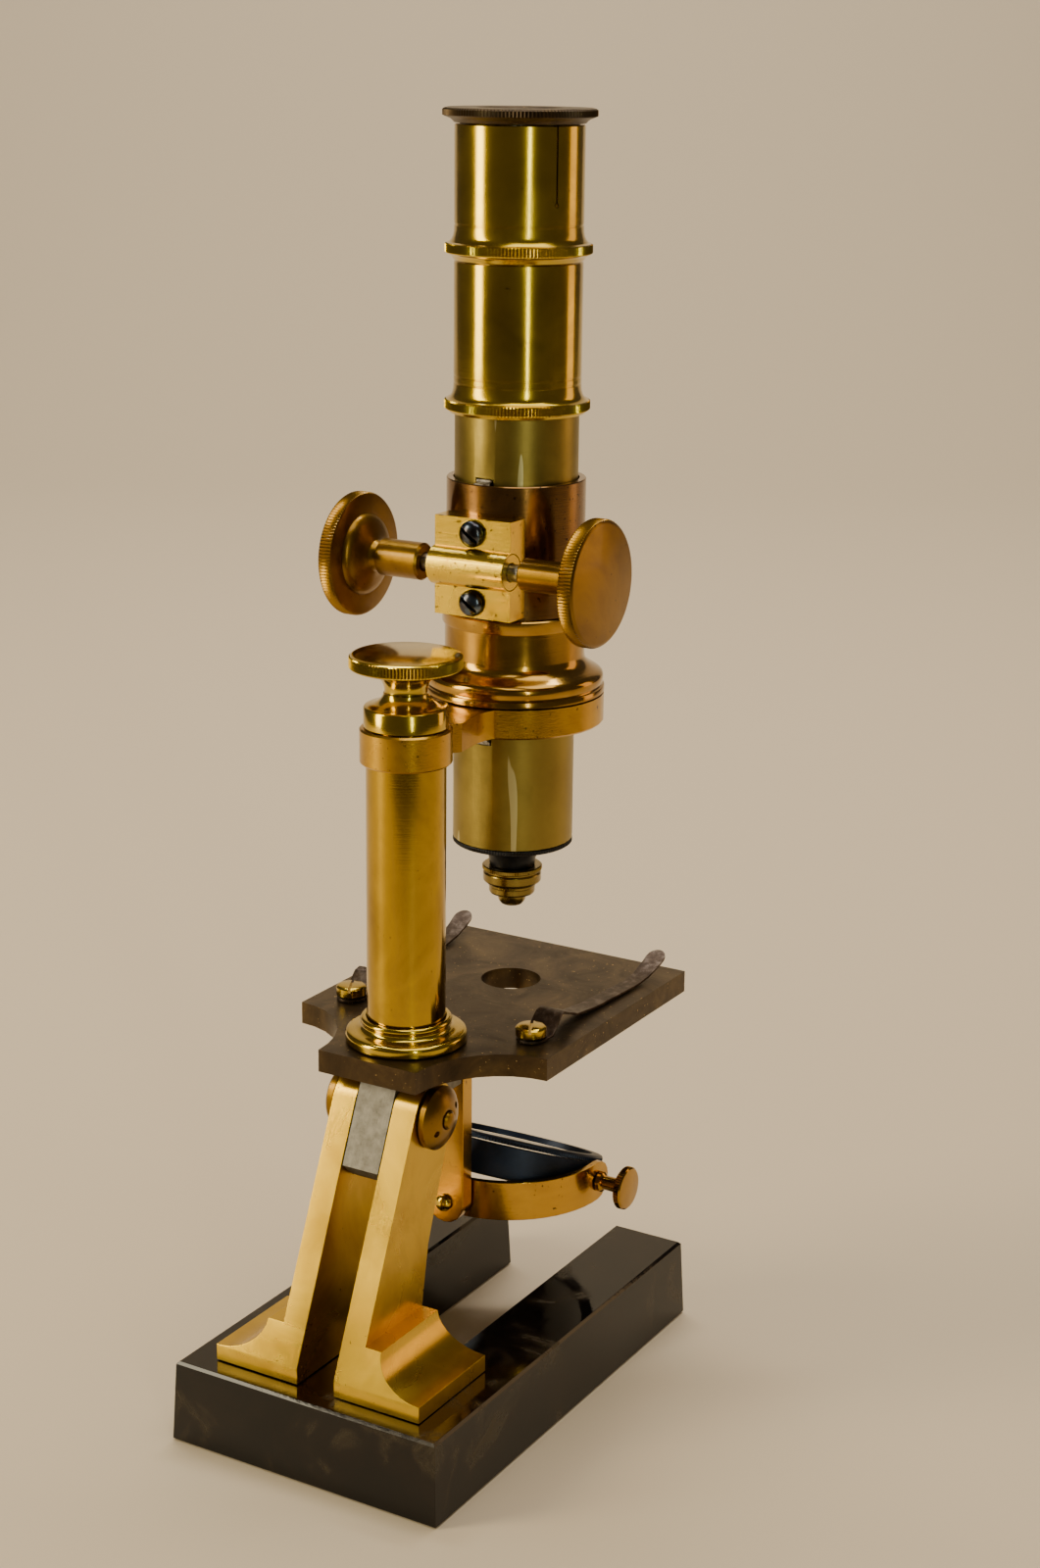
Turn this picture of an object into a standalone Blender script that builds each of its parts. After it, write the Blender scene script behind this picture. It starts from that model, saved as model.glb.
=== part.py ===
"""Brass compound microscope on a horseshoe foot.

Metres, +Z up, underside of the foot on Z = 0, +X to the observer's right, +Y from the
pillars towards the open end of the horseshoe. The sizes below are in millimetres.
"""
import math

import bmesh
import bpy

MM = 0.001

# Foot
BASE_WIDTH = 70.0
BASE_LENGTH = 114.75
BASE_HEIGHT = 19.0
BASE_DRAFT = 0.8
SLOT_WIDTH = 30.0
HEEL_DEPTH = 37.4

# Pillars
PILLAR_GAP = 9.76
PILLAR_PLATE = 6.0
PILLAR_FOOT_WIDTH = 21.96
PILLAR_FOOT_REAR = -51.3
PILLAR_FOOT_FRONT = -24.2
PILLAR_STRIP = 4.1
PILLAR_LEDGE = 12.3
EYE_RADIUS = 7.9
TRUNNION_Y = -20.5
TRUNNION_RISE = 56.3
TRUNNION_RADIUS = 2.9
NUT_RADIUS = 7.2

# Stage
STAGE_WIDTH = 65.4
STAGE_FRONT = 57.1
STAGE_SHOULDER = -8.8
STAGE_TAB_HALF = 12.7
STAGE_TAB_REAR = -30.8
STAGE_THICK = 5.16
STAGE_LIFT = 9.02
APERTURE_RADIUS = 7.07
CLIP_X = 24.1
CLIP_Y = -1.1
CLIP_TURN = math.radians(3.2)

# Column and fine adjustment
COLUMN_Y = -14.85
COLUMN_RADIUS = 8.76
COLUMN_WALL = 1.56
FLANGE_LIP = 4.8
COLLAR_WALL = 1.34
ARM_RISE = 63.9
ARM_HEIGHT = 7.9
HEAD_RADIUS = 12.27
SPINDLE_RADIUS = 1.9

# Optical tube
AXIS_Y = 30.55
TUBE_RADIUS = 13.93
TUBE_WALL = 1.33
TUBE_LENGTH = 98.3
UPPER_LENGTH = 33.1
SOCKET_LENGTH = 28.9
SLEEVE_WALL = 1.49
RING_LIP = 5.01
UPPER_STEP = 0.32
MILLED_LIP = 2.0
CAP_LIP = 2.63
DRAW_WALL = 0.65

# Coarse adjustment
PINION_TEETH = 14
TOOTH_MODULE = 0.5
PINION_RISE = 101.9
RACK_PROUD = 0.62
RACK_TOOTH = 0.45
KNOB_RADIUS = 14.0
KNOB_FACE = 32.5
BLOCK_HALF = 9.75
BLOCK_HEIGHT = 22.2

# Mirror
MIRROR_Z = 43.2
MIRROR_RADIUS = 22.2
MIRROR_RISE = 5.5
MIRROR_DROP = 4.0
MIRROR_TILT = math.radians(24.0)
FORK_RADIUS = 24.8
FORK_THICK = 1.6
FORK_HALF = 4.75

# Clearances
GAP = 0.25
SLIP = 0.27

BASE_TOP = BASE_HEIGHT
HALF_GAP = PILLAR_GAP / 2
PILLAR_OUT = HALF_GAP + PILLAR_PLATE
TRUNNION_Z = BASE_TOP + TRUNNION_RISE
STAGE_UNDER = TRUNNION_Z + STAGE_LIFT
STAGE_TOP = STAGE_UNDER + STAGE_THICK
ARM_BOTTOM = STAGE_TOP + ARM_RISE
ARM_TOP = ARM_BOTTOM + ARM_HEIGHT
PINION_Z = STAGE_TOP + PINION_RISE
TUBE_BOTTOM = STAGE_TOP + 35.9
TUBE_TOP = TUBE_BOTTOM + TUBE_LENGTH
COLUMN_BORE = COLUMN_RADIUS - COLUMN_WALL
PRISM_RADIUS = COLUMN_BORE - 0.3
FLANGE_RADIUS = COLUMN_RADIUS + FLANGE_LIP
COLLAR_RADIUS = COLUMN_RADIUS + COLLAR_WALL
PITCH_RADIUS = PINION_TEETH * TOOTH_MODULE / 2
RACK_PITCH_Y = AXIS_Y - TUBE_RADIUS - RACK_PROUD
PINION_Y = RACK_PITCH_Y - PITCH_RADIUS
RACK_WAY_Y = RACK_PITCH_Y - RACK_TOOTH - 0.55
TUBE_BORE = TUBE_RADIUS - TUBE_WALL
TUBE_PASS = TUBE_RADIUS + SLIP
SLEEVE_RADIUS = TUBE_PASS + SLEEVE_WALL
SLEEVE_SEAT = TUBE_PASS + 0.65
RING_RADIUS = SLEEVE_RADIUS + RING_LIP
UPPER_RADIUS = TUBE_RADIUS + UPPER_STEP
MILLED_RADIUS = UPPER_RADIUS + MILLED_LIP
CAP_RADIUS = UPPER_RADIUS + CAP_LIP
PLUG_RADIUS = TUBE_BORE - SLIP
PLUG_BORE = PLUG_RADIUS - 0.48
DRAW_RADIUS = PLUG_BORE - 0.3
SOCKET_BORE = UPPER_RADIUS - 1.15
PUSH_RADIUS = SOCKET_BORE - GAP
PUSH_BORE = PUSH_RADIUS - 0.85

for item in list(bpy.data.objects):
    bpy.data.objects.remove(item, do_unlink=True)

model = bpy.data.collections.new("microscope")
cutters = bpy.data.collections.new("cutters")
bpy.context.scene.collection.children.link(model)
bpy.context.scene.collection.children.link(cutters)

FINISH = {
    "brass": ((0.78, 0.55, 0.20), 1.0, 0.22),
    "bronze": ((0.22, 0.13, 0.06), 1.0, 0.40),
    "japanned": ((0.035, 0.018, 0.012), 0.0, 0.25),
    "steel": ((0.36, 0.36, 0.38), 1.0, 0.30),
    "black": ((0.02, 0.02, 0.03), 0.2, 0.35),
    "glass": ((0.80, 0.86, 0.88), 0.0, 0.05),
}


def finish(obj, kind):
    """Give the object its own Principled material."""
    colour, metallic, roughness = FINISH[kind]
    mat = bpy.data.materials.new(obj.name + "_" + kind)
    mat.use_nodes = True
    shader = mat.node_tree.nodes["Principled BSDF"]
    shader.inputs["Base Color"].default_value = (*colour, 1.0)
    shader.inputs["Metallic"].default_value = metallic
    shader.inputs["Roughness"].default_value = roughness
    obj.data.materials.append(mat)


def place(name, mesh, at, kind):
    """Link a mesh as a finished piece, or as a cutter when no finish is named."""
    obj = bpy.data.objects.new(name, mesh)
    obj.location = [c * MM for c in at]
    if kind:
        model.objects.link(obj)
        finish(obj, kind)
    else:
        cutters.objects.link(obj)
        obj.hide_render = True
        obj.display_type = "WIRE"
    return obj


AXIS_TURN = {"Z": (0.0, 0.0, 0.0), "X": (0.0, math.pi / 2, 0.0), "Y": (-math.pi / 2, 0.0, 0.0)}


def turned(name, profile, at, kind=None, axis="Z", steps=32):
    """Turn a (radius, height) profile, outer side first from top to bottom."""
    closed = profile[0][0] > 0 or profile[-1][0] > 0
    verts = [(r * MM, 0.0, h * MM) for r, h in profile]
    edges = [(i, i + 1) for i in range(len(verts) - 1)]
    if closed:
        edges.append((len(verts) - 1, 0))
    mesh = bpy.data.meshes.new(name)
    mesh.from_pydata(verts, edges, [])
    obj = place(name, mesh, at, kind)
    obj.rotation_euler = AXIS_TURN[axis]
    screw = obj.modifiers.new("turn", "SCREW")
    screw.steps = steps
    screw.render_steps = steps
    screw.use_merge_vertices = True
    screw.merge_threshold = 0.000001
    screw.use_smooth_shade = False
    return obj


def prism(name, outline, axis, low, high, at=(0.0, 0.0, 0.0), kind=None):
    """Extrude an outline drawn in the plane across the named axis."""
    order = {"X": lambda a, b, h: (h, a, b), "Y": lambda a, b, h: (a, h, b), "Z": lambda a, b, h: (a, b, h)}
    put = order[axis]
    verts = [[c * MM for c in put(a, b, h)] for h in (low, high) for a, b in outline]
    n = len(outline)
    faces = [list(range(n))[::-1], list(range(n, 2 * n))]
    faces += [[i, (i + 1) % n, n + (i + 1) % n, n + i] for i in range(n)]
    mesh = bpy.data.meshes.new(name)
    mesh.from_pydata(verts, [], faces)
    bm = bmesh.new()
    bm.from_mesh(mesh)
    bmesh.ops.recalc_face_normals(bm, faces=bm.faces)
    bm.to_mesh(mesh)
    bm.free()
    return place(name, mesh, at, kind)


def rod(name, radius, axis, low, high, at, steps=16):
    """A plain cylinder cutter along an axis, measured from at."""
    return turned(name, [(0, high), (radius, high), (radius, low), (0, low)], at, None, axis, steps)


def block(name, x0, x1, y0, y1, z0, z1, kind=None, at=(0.0, 0.0, 0.0)):
    return prism(name, [(x0, y0), (x1, y0), (x1, y1), (x0, y1)], "Z", z0, z1, at, kind)


def combine(obj, tool, operation="DIFFERENCE"):
    mod = obj.modifiers.new(operation.lower() + "_" + tool.name, "BOOLEAN")
    mod.operation = operation
    mod.solver = "EXACT"
    mod.object = tool


def arc(cx, cy, rx, ry, start, end, count):
    """Points along an ellipse arc, angles in degrees."""
    out = []
    for i in range(count + 1):
        a = math.radians(start + (end - start) * i / count)
        out.append((cx + rx * math.cos(a), cy + ry * math.sin(a)))
    return out


def tangent_angle(point, centre, radius, side):
    """Angle on the circle, in degrees, where a line from the point just touches it."""
    dx, dy = point[0] - centre[0], point[1] - centre[1]
    base = math.atan2(dy, dx)
    return math.degrees(base + side * math.acos(radius / math.hypot(dx, dy)))


# ---------------------------------------------------------------- foot
SCREW_X = HALF_GAP + 3.3
SCREW_YS = (-44.0, -31.0)


def build_foot():
    """Horseshoe block with drafted sides, screw holes counterbored from beneath."""
    w, l, d = BASE_WIDTH / 2, BASE_LENGTH / 2, BASE_DRAFT
    root = -l + HEEL_DEPTH
    s = SLOT_WIDTH / 2
    rings = []
    for z, inset in ((0.0, 0.0), (BASE_HEIGHT - 0.6, d), (BASE_HEIGHT, d + 0.6)):
        rings.append([(-w + inset, -l + inset, z), (w - inset, -l + inset, z), (w - inset, l - inset, z),
                      (s + inset, l - inset, z), (s + inset, root - inset, z), (-s - inset, root - inset, z),
                      (-s - inset, l - inset, z), (-w + inset, l - inset, z)])
    verts = [[c * MM for c in p] for ring in rings for p in ring]
    n = 8
    faces = [list(range(n))[::-1], list(range(2 * n, 3 * n))]
    for k in range(2):
        faces += [[k * n + i, k * n + (i + 1) % n, (k + 1) * n + (i + 1) % n, (k + 1) * n + i] for i in range(n)]
    mesh = bpy.data.meshes.new("foot_block")
    mesh.from_pydata(verts, [], faces)
    foot = place("foot_block", mesh, (0, 0, 0), "japanned")
    for i, (x, y) in enumerate((sx * SCREW_X, y) for sx in (-1, 1) for y in SCREW_YS):
        profile = [(0, BASE_HEIGHT + 1), (2.2, BASE_HEIGHT + 1), (2.2, 4.5), (4.0, 4.5), (4.0, -1), (0, -1)]
        combine(foot, turned(f"foot_hole_{i}", profile, (x, y, 0), steps=16))
        turned(f"pillar_screw_{i + 1}",
               [(0, BASE_TOP + 8.0), (1.95, BASE_TOP + 8.0), (1.95, 4.5 - GAP), (3.6, 4.5 - GAP), (3.6, 1.5), (0, 1.5)],
               (x, y, 0), "steel", steps=12)


def build_pillar(name, side):
    """Pillar plate leaning forwards on a coved foot, rounded about the trunnion."""
    z0 = BASE_TOP + GAP
    strip = BASE_TOP + PILLAR_STRIP
    ledge = BASE_TOP + PILLAR_LEDGE
    eye = (TRUNNION_Y, TRUNNION_Z)
    rear = (PILLAR_FOOT_REAR, strip)
    waist = (PILLAR_FOOT_FRONT + 1.5, BASE_TOP + 0.469 * TRUNNION_RISE)
    back = tangent_angle(rear, eye, EYE_RADIUS, -1) % 360
    front = tangent_angle(waist, eye, EYE_RADIUS, 1) % 360
    outline = [(PILLAR_FOOT_REAR, z0), (PILLAR_FOOT_FRONT, z0), (PILLAR_FOOT_FRONT, strip),
               (PILLAR_FOOT_FRONT - 1.0, ledge), waist]
    outline += arc(*eye, EYE_RADIUS, EYE_RADIUS, front - 360, back, 14) + [rear]
    out = HALF_GAP + PILLAR_FOOT_WIDTH
    toe = PILLAR_OUT + 4.1
    section = [(HALF_GAP, z0 - 1), (out, z0 - 1), (out, strip)]
    section += arc(out, ledge, out - toe, ledge - strip, 270, 180, 8)
    section += [(PILLAR_OUT, ledge), (PILLAR_OUT, TRUNNION_Z + 20), (HALF_GAP, TRUNNION_Z + 20)]
    plate = prism(name, outline, "X", *sorted((side * 3.0, side * (out + 3))), kind="brass")
    shape = prism(name + "_shape", [(side * x, z) for x, z in section], "Y", -90, 40)
    combine(plate, shape, "INTERSECT")
    combine(plate, rod(name + "_eye_cut", TRUNNION_RADIUS + SLIP, "X", -40, 40, (0, *eye)))
    for i, y in enumerate(SCREW_YS):
        combine(plate, rod(f"{name}_cut_{i}", 2.2, "Z", 0, 9.2, (side * SCREW_X, y, BASE_TOP)))


def build_trunnion():
    """Bolt with a domed head on the left, domed nut with two spanner holes on the right."""
    face = PILLAR_OUT + GAP
    at = (0, TRUNNION_Y, TRUNNION_Z)
    turned("trunnion_bolt",
           [(0, face + 4.6), (2.0, face + 4.2), (2.0, face - 0.4), (TRUNNION_RADIUS, face - 0.4),
            (TRUNNION_RADIUS, -face), (NUT_RADIUS, -face), (NUT_RADIUS, -face - 1.7),
            (NUT_RADIUS * 0.72, -face - 3.0), (NUT_RADIUS * 0.3, -face - 3.6), (0, -face - 3.7)],
           at, "brass", "X", 24)
    nut = turned("trunnion_nut",
                 [(2.25, face + 3.6), (NUT_RADIUS * 0.72, face + 2.9), (NUT_RADIUS, face + 1.6),
                  (NUT_RADIUS, face), (2.25, face)], at, "brass", "X", 24)
    for i, s in enumerate((-1, 1)):
        hole = (0, TRUNNION_Y + s * 3.4, TRUNNION_Z - s * 3.2)
        combine(nut, rod(f"spanner_hole_{i}", 0.8, "X", face + 1.3, face + 8, hole, 8))


# ---------------------------------------------------------------- limb
BLOCK_SCREW_YS = (-24.0, -7.6)
BAR_BACK = 1.2
BAR_THICK = 4.0


def build_joint_block():
    """Hub between the pillars, its tail screwed up under the stage and carrying the mirror bar."""
    eye = (TRUNNION_Y, TRUNNION_Z)
    rear = (PILLAR_FOOT_REAR, BASE_TOP + PILLAR_STRIP)
    touch = math.radians(tangent_angle(rear, eye, EYE_RADIUS, -1))
    ty, tz = eye[0] + EYE_RADIUS * math.cos(touch), eye[1] + EYE_RADIUS * math.sin(touch)
    uy, uz = -math.sin(touch), math.cos(touch)
    uy, uz = (uy, uz) if uz > 0 else (-uy, -uz)
    top = STAGE_UNDER - GAP
    up = (top - tz) / uz
    down = 14.7
    foot_y, foot_z = ty - uy * down, tz - uz * down
    reach = math.hypot(foot_y - eye[0], foot_z - eye[1])
    start = math.degrees(math.atan2(foot_z - eye[1], foot_y - eye[0])) % 360
    outline = arc(*eye, reach, reach, start, 300, 7)
    outline += [(TRUNNION_Y + 10.5, TRUNNION_Z - 6.0), (TRUNNION_Y + 14.0, TRUNNION_Z - 1.2),
                (BAR_BACK - GAP, TRUNNION_Z - 1.2), (BAR_BACK - GAP, top), (ty + uy * up, top)]
    half = HALF_GAP - GAP
    hub = prism("joint_block", outline, "X", -half, half, kind="steel")
    combine(hub, rod("joint_block_bore", TRUNNION_RADIUS + SLIP, "X", -9, 9, (0, *eye)))
    combine(hub, rod("joint_block_well", 2.9, "Z", -3.2, 3, (0, COLUMN_Y, top)))
    combine(hub, rod("joint_block_tap", 1.95, "Y", -8.0, 3, (0, BAR_BACK, TRUNNION_Z + 3.4)))
    for i, y in enumerate(BLOCK_SCREW_YS):
        combine(hub, rod(f"joint_block_hole_{i}", 1.6, "Z", -3.4, 3, (0, y, top)))
        turned(f"joint_block_screw_{i + 1}",
               [(0, STAGE_TOP - 0.2), (2.6, STAGE_TOP - 0.2), (2.6, STAGE_TOP - 2.1), (1.3, STAGE_TOP - 2.1),
                (1.3, top - 3.0), (0, top - 3.0)], (0, y, 0), "steel", steps=12)


def build_stage():
    """Flat plate with a waisted tab at the back, central aperture and countersunk fixings."""
    w, tab = STAGE_WIDTH / 2, STAGE_TAB_HALF
    rise = STAGE_SHOULDER - STAGE_TAB_REAR
    outline = [(w, STAGE_FRONT), (-w, STAGE_FRONT)]
    outline += arc(-w, STAGE_TAB_REAR, w - tab, rise, 90, 0, 8)
    outline += arc(w, STAGE_TAB_REAR, w - tab, rise, 180, 90, 8)
    plate = prism("stage_plate", outline, "Z", STAGE_UNDER, STAGE_TOP, kind="bronze")
    combine(plate, rod("aperture", APERTURE_RADIUS, "Z", -10, 10, (0, AXIS_Y, STAGE_TOP), 32))
    combine(plate, rod("column_hole", 2.9, "Z", -10, 10, (0, COLUMN_Y, STAGE_TOP)))
    for i, y in enumerate(BLOCK_SCREW_YS):
        combine(plate, turned(f"stage_hole_{i}", [(0, 2), (2.9, 2), (2.9, -2.35), (1.6, -2.35), (1.6, -9), (0, -9)],
                              (0, y, STAGE_TOP), steps=12))
    for side, word in ((-1, "left"), (1, "right")):
        at = (side * CLIP_X, CLIP_Y, STAGE_TOP)
        combine(plate, rod(f"clip_hole_{word}", 1.7, "Z", -9, 9, at, 12))
        screw = turned(f"clip_screw_{word}", [(0, 3.7), (3.0, 3.7), (3.5, 3.3), (3.5, 1.3), (1.4, 1.3), (1.4, -4.6),
                                              (0, -4.6)], at, "brass", steps=20)
        combine(screw, block(f"clip_slot_{word}", -0.35, 0.35, -5, 5, 2.7, 6, at=at))


def build_clip(word, side):
    """Sprung strip held under its screw: it rises in a hump, lies along the stage and curls up at the tip."""
    at = (side * CLIP_X, CLIP_Y, STAGE_TOP)
    centre = [(-3.6, 0.6), (3.8, 0.6), (7.2, 4.2), (8.6, 4.6), (11.5, 3.4), (16.0, 1.6), (24.0, 0.8), (42.0, 0.6),
              (47.0, 1.2), (51.5, 2.8), (57.2, 5.4)]
    half = 0.3
    upper, lower = [], []
    for i, (y, z) in enumerate(centre):
        ay, az = centre[max(i - 1, 0)]
        by, bz = centre[min(i + 1, len(centre) - 1)]
        size = math.hypot(by - ay, bz - az)
        ny, nz = -(bz - az) / size, (by - ay) / size
        upper.append((y + ny * half, z + nz * half))
        lower.append((y - ny * half, z - nz * half))
    strip = prism(f"stage_clip_{word}", upper + lower[::-1], "X", -6, 6, at, "steel")
    plan = arc(0, 0, 3.4, 3.4, 180, 360, 8) + [(3.4, 6.0), (3.0, 9.5), (2.1, 14.0), (2.0, 46.0), (2.35, 52.0)]
    plan += arc(0, 53.4, 2.4, 2.4, 0, 180, 8) + [(-2.35, 52.0), (-2.0, 46.0), (-2.1, 14.0), (-3.0, 9.5), (-3.4, 6.0)]
    shape = prism(f"clip_shape_{word}", plan, "Z", -5, 20, at)
    combine(strip, shape, "INTERSECT")
    combine(strip, rod(f"clip_eye_{word}", 1.7, "Z", -5, 5, at, 12))
    for obj in (strip, shape):
        obj.rotation_euler = (0, 0, -side * CLIP_TURN)


def build_column():
    """Flange on the stage, fixed triangular bar, sliding column tube, return spring, cap and head."""
    s = STAGE_TOP
    at = (0, COLUMN_Y, 0)
    r = COLUMN_RADIUS
    bore = r + 0.2
    turned("column_flange",
           [(r + 1.14, s + 5.8), (r + 1.44, s + 5.4), (r + 1.44, s + 4.4), (r + 1.14, s + 4.0), (r + 1.84, s + 3.0),
            (FLANGE_RADIUS - 0.66, s + 2.7), (FLANGE_RADIUS, s + 2.1), (FLANGE_RADIUS, s + GAP), (bore, s + GAP),
            (bore, s + 5.8)],
           at, "brass")
    prism_top = ARM_BOTTOM - 12.0
    corners = []
    for k in range(3):
        corners += arc(0, COLUMN_Y, PRISM_RADIUS, PRISM_RADIUS, 90 + 120 * k - 14, 90 + 120 * k + 14, 1)
    bar = prism("prism_bar", corners, "Z", s + GAP, prism_top, kind="steel")
    combine(bar, rod("prism_spigot", 2.6, "Z", STAGE_UNDER - 3.1, s + 2, at), "UNION")
    combine(bar, rod("prism_thread", SPINDLE_RADIUS + SLIP, "Z", prism_top - 20, prism_top + 5, at))
    turned("column_tube",
           [(COLUMN_RADIUS, ARM_TOP - 0.4), (COLUMN_RADIUS, s + 3.0), (COLUMN_BORE, s + 3.0),
            (COLUMN_BORE, ARM_TOP - 0.4)], at, "brass")
    turned("column_cap",
           [(4.9, ARM_TOP + 7.6), (5.3, ARM_TOP + 6.6), (6.6, ARM_TOP + 5.4), (r + 0.15, ARM_TOP + 4.7),
            (r + 0.44, ARM_TOP + 4.4), (r + 0.44, ARM_TOP + GAP), (COLUMN_BORE - GAP, ARM_TOP + GAP),
            (COLUMN_BORE - GAP, ARM_TOP - 3.0), (SPINDLE_RADIUS + SLIP, ARM_TOP - 3.0),
            (SPINDLE_RADIUS + SLIP, ARM_TOP + 7.6)], at, "brass")
    head, root = ARM_TOP + 16.1, ARM_TOP + 7.9
    turned("fine_focus_head",
           [(0, head), (HEAD_RADIUS - 0.5, head), (HEAD_RADIUS, head - 0.4), (HEAD_RADIUS, head - 3.0),
            (HEAD_RADIUS - 0.5, head - 3.3), (7.4, head - 4.1), (5.3, head - 5.4), (4.7, head - 7.0), (4.7, root),
            (SPINDLE_RADIUS, root), (SPINDLE_RADIUS, prism_top - 14), (0, prism_top - 14)],
           at, "brass")
    turns, per, wire, radius = 6, 12, 0.45, 4.2
    low, high = prism_top + 0.8, ARM_TOP - 3.8
    curve = bpy.data.curves.new("fine_spring", "CURVE")
    curve.dimensions = "3D"
    curve.bevel_depth = wire * MM
    curve.bevel_resolution = 1
    curve.use_fill_caps = True
    spline = curve.splines.new("POLY")
    count = turns * per + 1
    spline.points.add(count - 1)
    for i in range(count):
        a = 2 * math.pi * i / per
        z = low + (high - low) * i / (count - 1)
        spline.points[i].co = (radius * math.cos(a) * MM, radius * math.sin(a) * MM, z * MM, 1)
    sketch = bpy.data.objects.new("spring_path", curve)
    cutters.objects.link(sketch)
    bpy.context.view_layer.update()
    coil = bpy.data.meshes.new_from_object(sketch.evaluated_get(bpy.context.evaluated_depsgraph_get()))
    bpy.data.objects.remove(sketch, do_unlink=True)
    bm = bmesh.new()
    bm.from_mesh(coil)
    bmesh.ops.remove_doubles(bm, verts=bm.verts, dist=1e-7)
    bmesh.ops.recalc_face_normals(bm, faces=bm.faces)
    bm.to_mesh(coil)
    bm.free()
    coil.name = "fine_spring"
    coil.materials.clear()
    place("fine_spring", coil, at, "steel")


def build_arm():
    """Collar on the column, flared bar and ring around the optical tube, cast in one."""
    z0, z1 = ARM_BOTTOM, ARM_TOP
    arm = turned("arm", [(COLLAR_RADIUS - 0.4, z1), (COLLAR_RADIUS, z1 - 0.4), (COLLAR_RADIUS, z0 + 0.4),
                         (COLLAR_RADIUS - 0.4, z0), (COLUMN_RADIUS - 1.2, z0), (COLUMN_RADIUS - 1.2, z1)],
                 (0, COLUMN_Y, 0), "brass", steps=36)
    near = COLUMN_Y + COLLAR_RADIUS - 1.6
    cheek = 0.785 * RING_RADIUS
    meet = AXIS_Y - math.sqrt(RING_RADIUS ** 2 - cheek ** 2) + 0.4
    right = [(4.2, near), (6.4, near + 4.0)]
    right += arc(cheek, near + 12.0, cheek - 5.5, meet - near - 12.0, 180, 90, 7)
    right += [(cheek - 3.0, meet + 2.0)]
    outline = right + [(-x, y) for x, y in right[::-1]]
    combine(arm, prism("arm_bar", outline, "Z", z0 + 0.3, z1 - 1.1), "UNION")
    top = z1 - 1.1
    ring = turned("arm_ring", [(RING_RADIUS, top), (RING_RADIUS, z0 + 0.5), (RING_RADIUS - 0.5, z0),
                               (TUBE_PASS, z0), (TUBE_PASS, top)], (0, AXIS_Y, 0), steps=32)
    combine(arm, ring, "UNION")
    combine(arm, rod("arm_bore", COLUMN_RADIUS + 0.2, "Z", z0 - 9, z1 + 9, (0, COLUMN_Y, 0), 32))
    combine(arm, rod("arm_pass", TUBE_PASS, "Z", z0 - 9, z1 + 9, (0, AXIS_Y, 0), 32))
    combine(arm, block("arm_rack_way", -2.5, 2.5, RACK_WAY_Y, AXIS_Y, z0 - 9, z1 + 9))
    base = top + GAP
    neck = SLEEVE_RADIUS + 0.3
    flange = turned("sleeve_flange",
                    [(neck + 0.6, base + 18.9), (neck + 0.6, base + 16.1), (neck, base + 15.7), (neck, base + 8.6),
                     (neck + 0.4, base + 7.2), (neck + 1.9, base + 5.9), (neck + 3.9, base + 4.6),
                     (neck + 4.4, base + 3.4), (neck + 4.2, base + 1.9), (RING_RADIUS, base + 1.5),
                     (RING_RADIUS, base),
                     (TUBE_PASS, base), (TUBE_PASS, base + 5), (SLEEVE_SEAT + GAP, base + 5),
                     (SLEEVE_SEAT + GAP, base + 18.9)],
                    (0, AXIS_Y, 0), "brass", steps=32)
    combine(flange, block("flange_rack_way", -2.5, 2.5, RACK_WAY_Y, AXIS_Y, base - 9, base + 28))
    foot = base + 18.9 + GAP
    sleeve = turned("sleeve",
                    [(SLEEVE_RADIUS, STAGE_TOP + 119.9), (SLEEVE_RADIUS, foot), (SLEEVE_SEAT, foot),
                     (SLEEVE_SEAT, base + 5 + GAP), (TUBE_PASS, base + 5 + GAP), (TUBE_PASS, STAGE_TOP + 119.9)],
                    (0, AXIS_Y, 0), "brass", steps=32)
    combine(sleeve, block("sleeve_rack_way", -2.3, 2.3, RACK_PITCH_Y - RACK_TOOTH - 0.2, AXIS_Y, base,
                          STAGE_TOP + 130))
    combine(sleeve, block("sleeve_window", -2.6, 2.6, AXIS_Y - SLEEVE_RADIUS - 5, AXIS_Y, PINION_Z - 4.3,
                          PINION_Z + 4.3))


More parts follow.
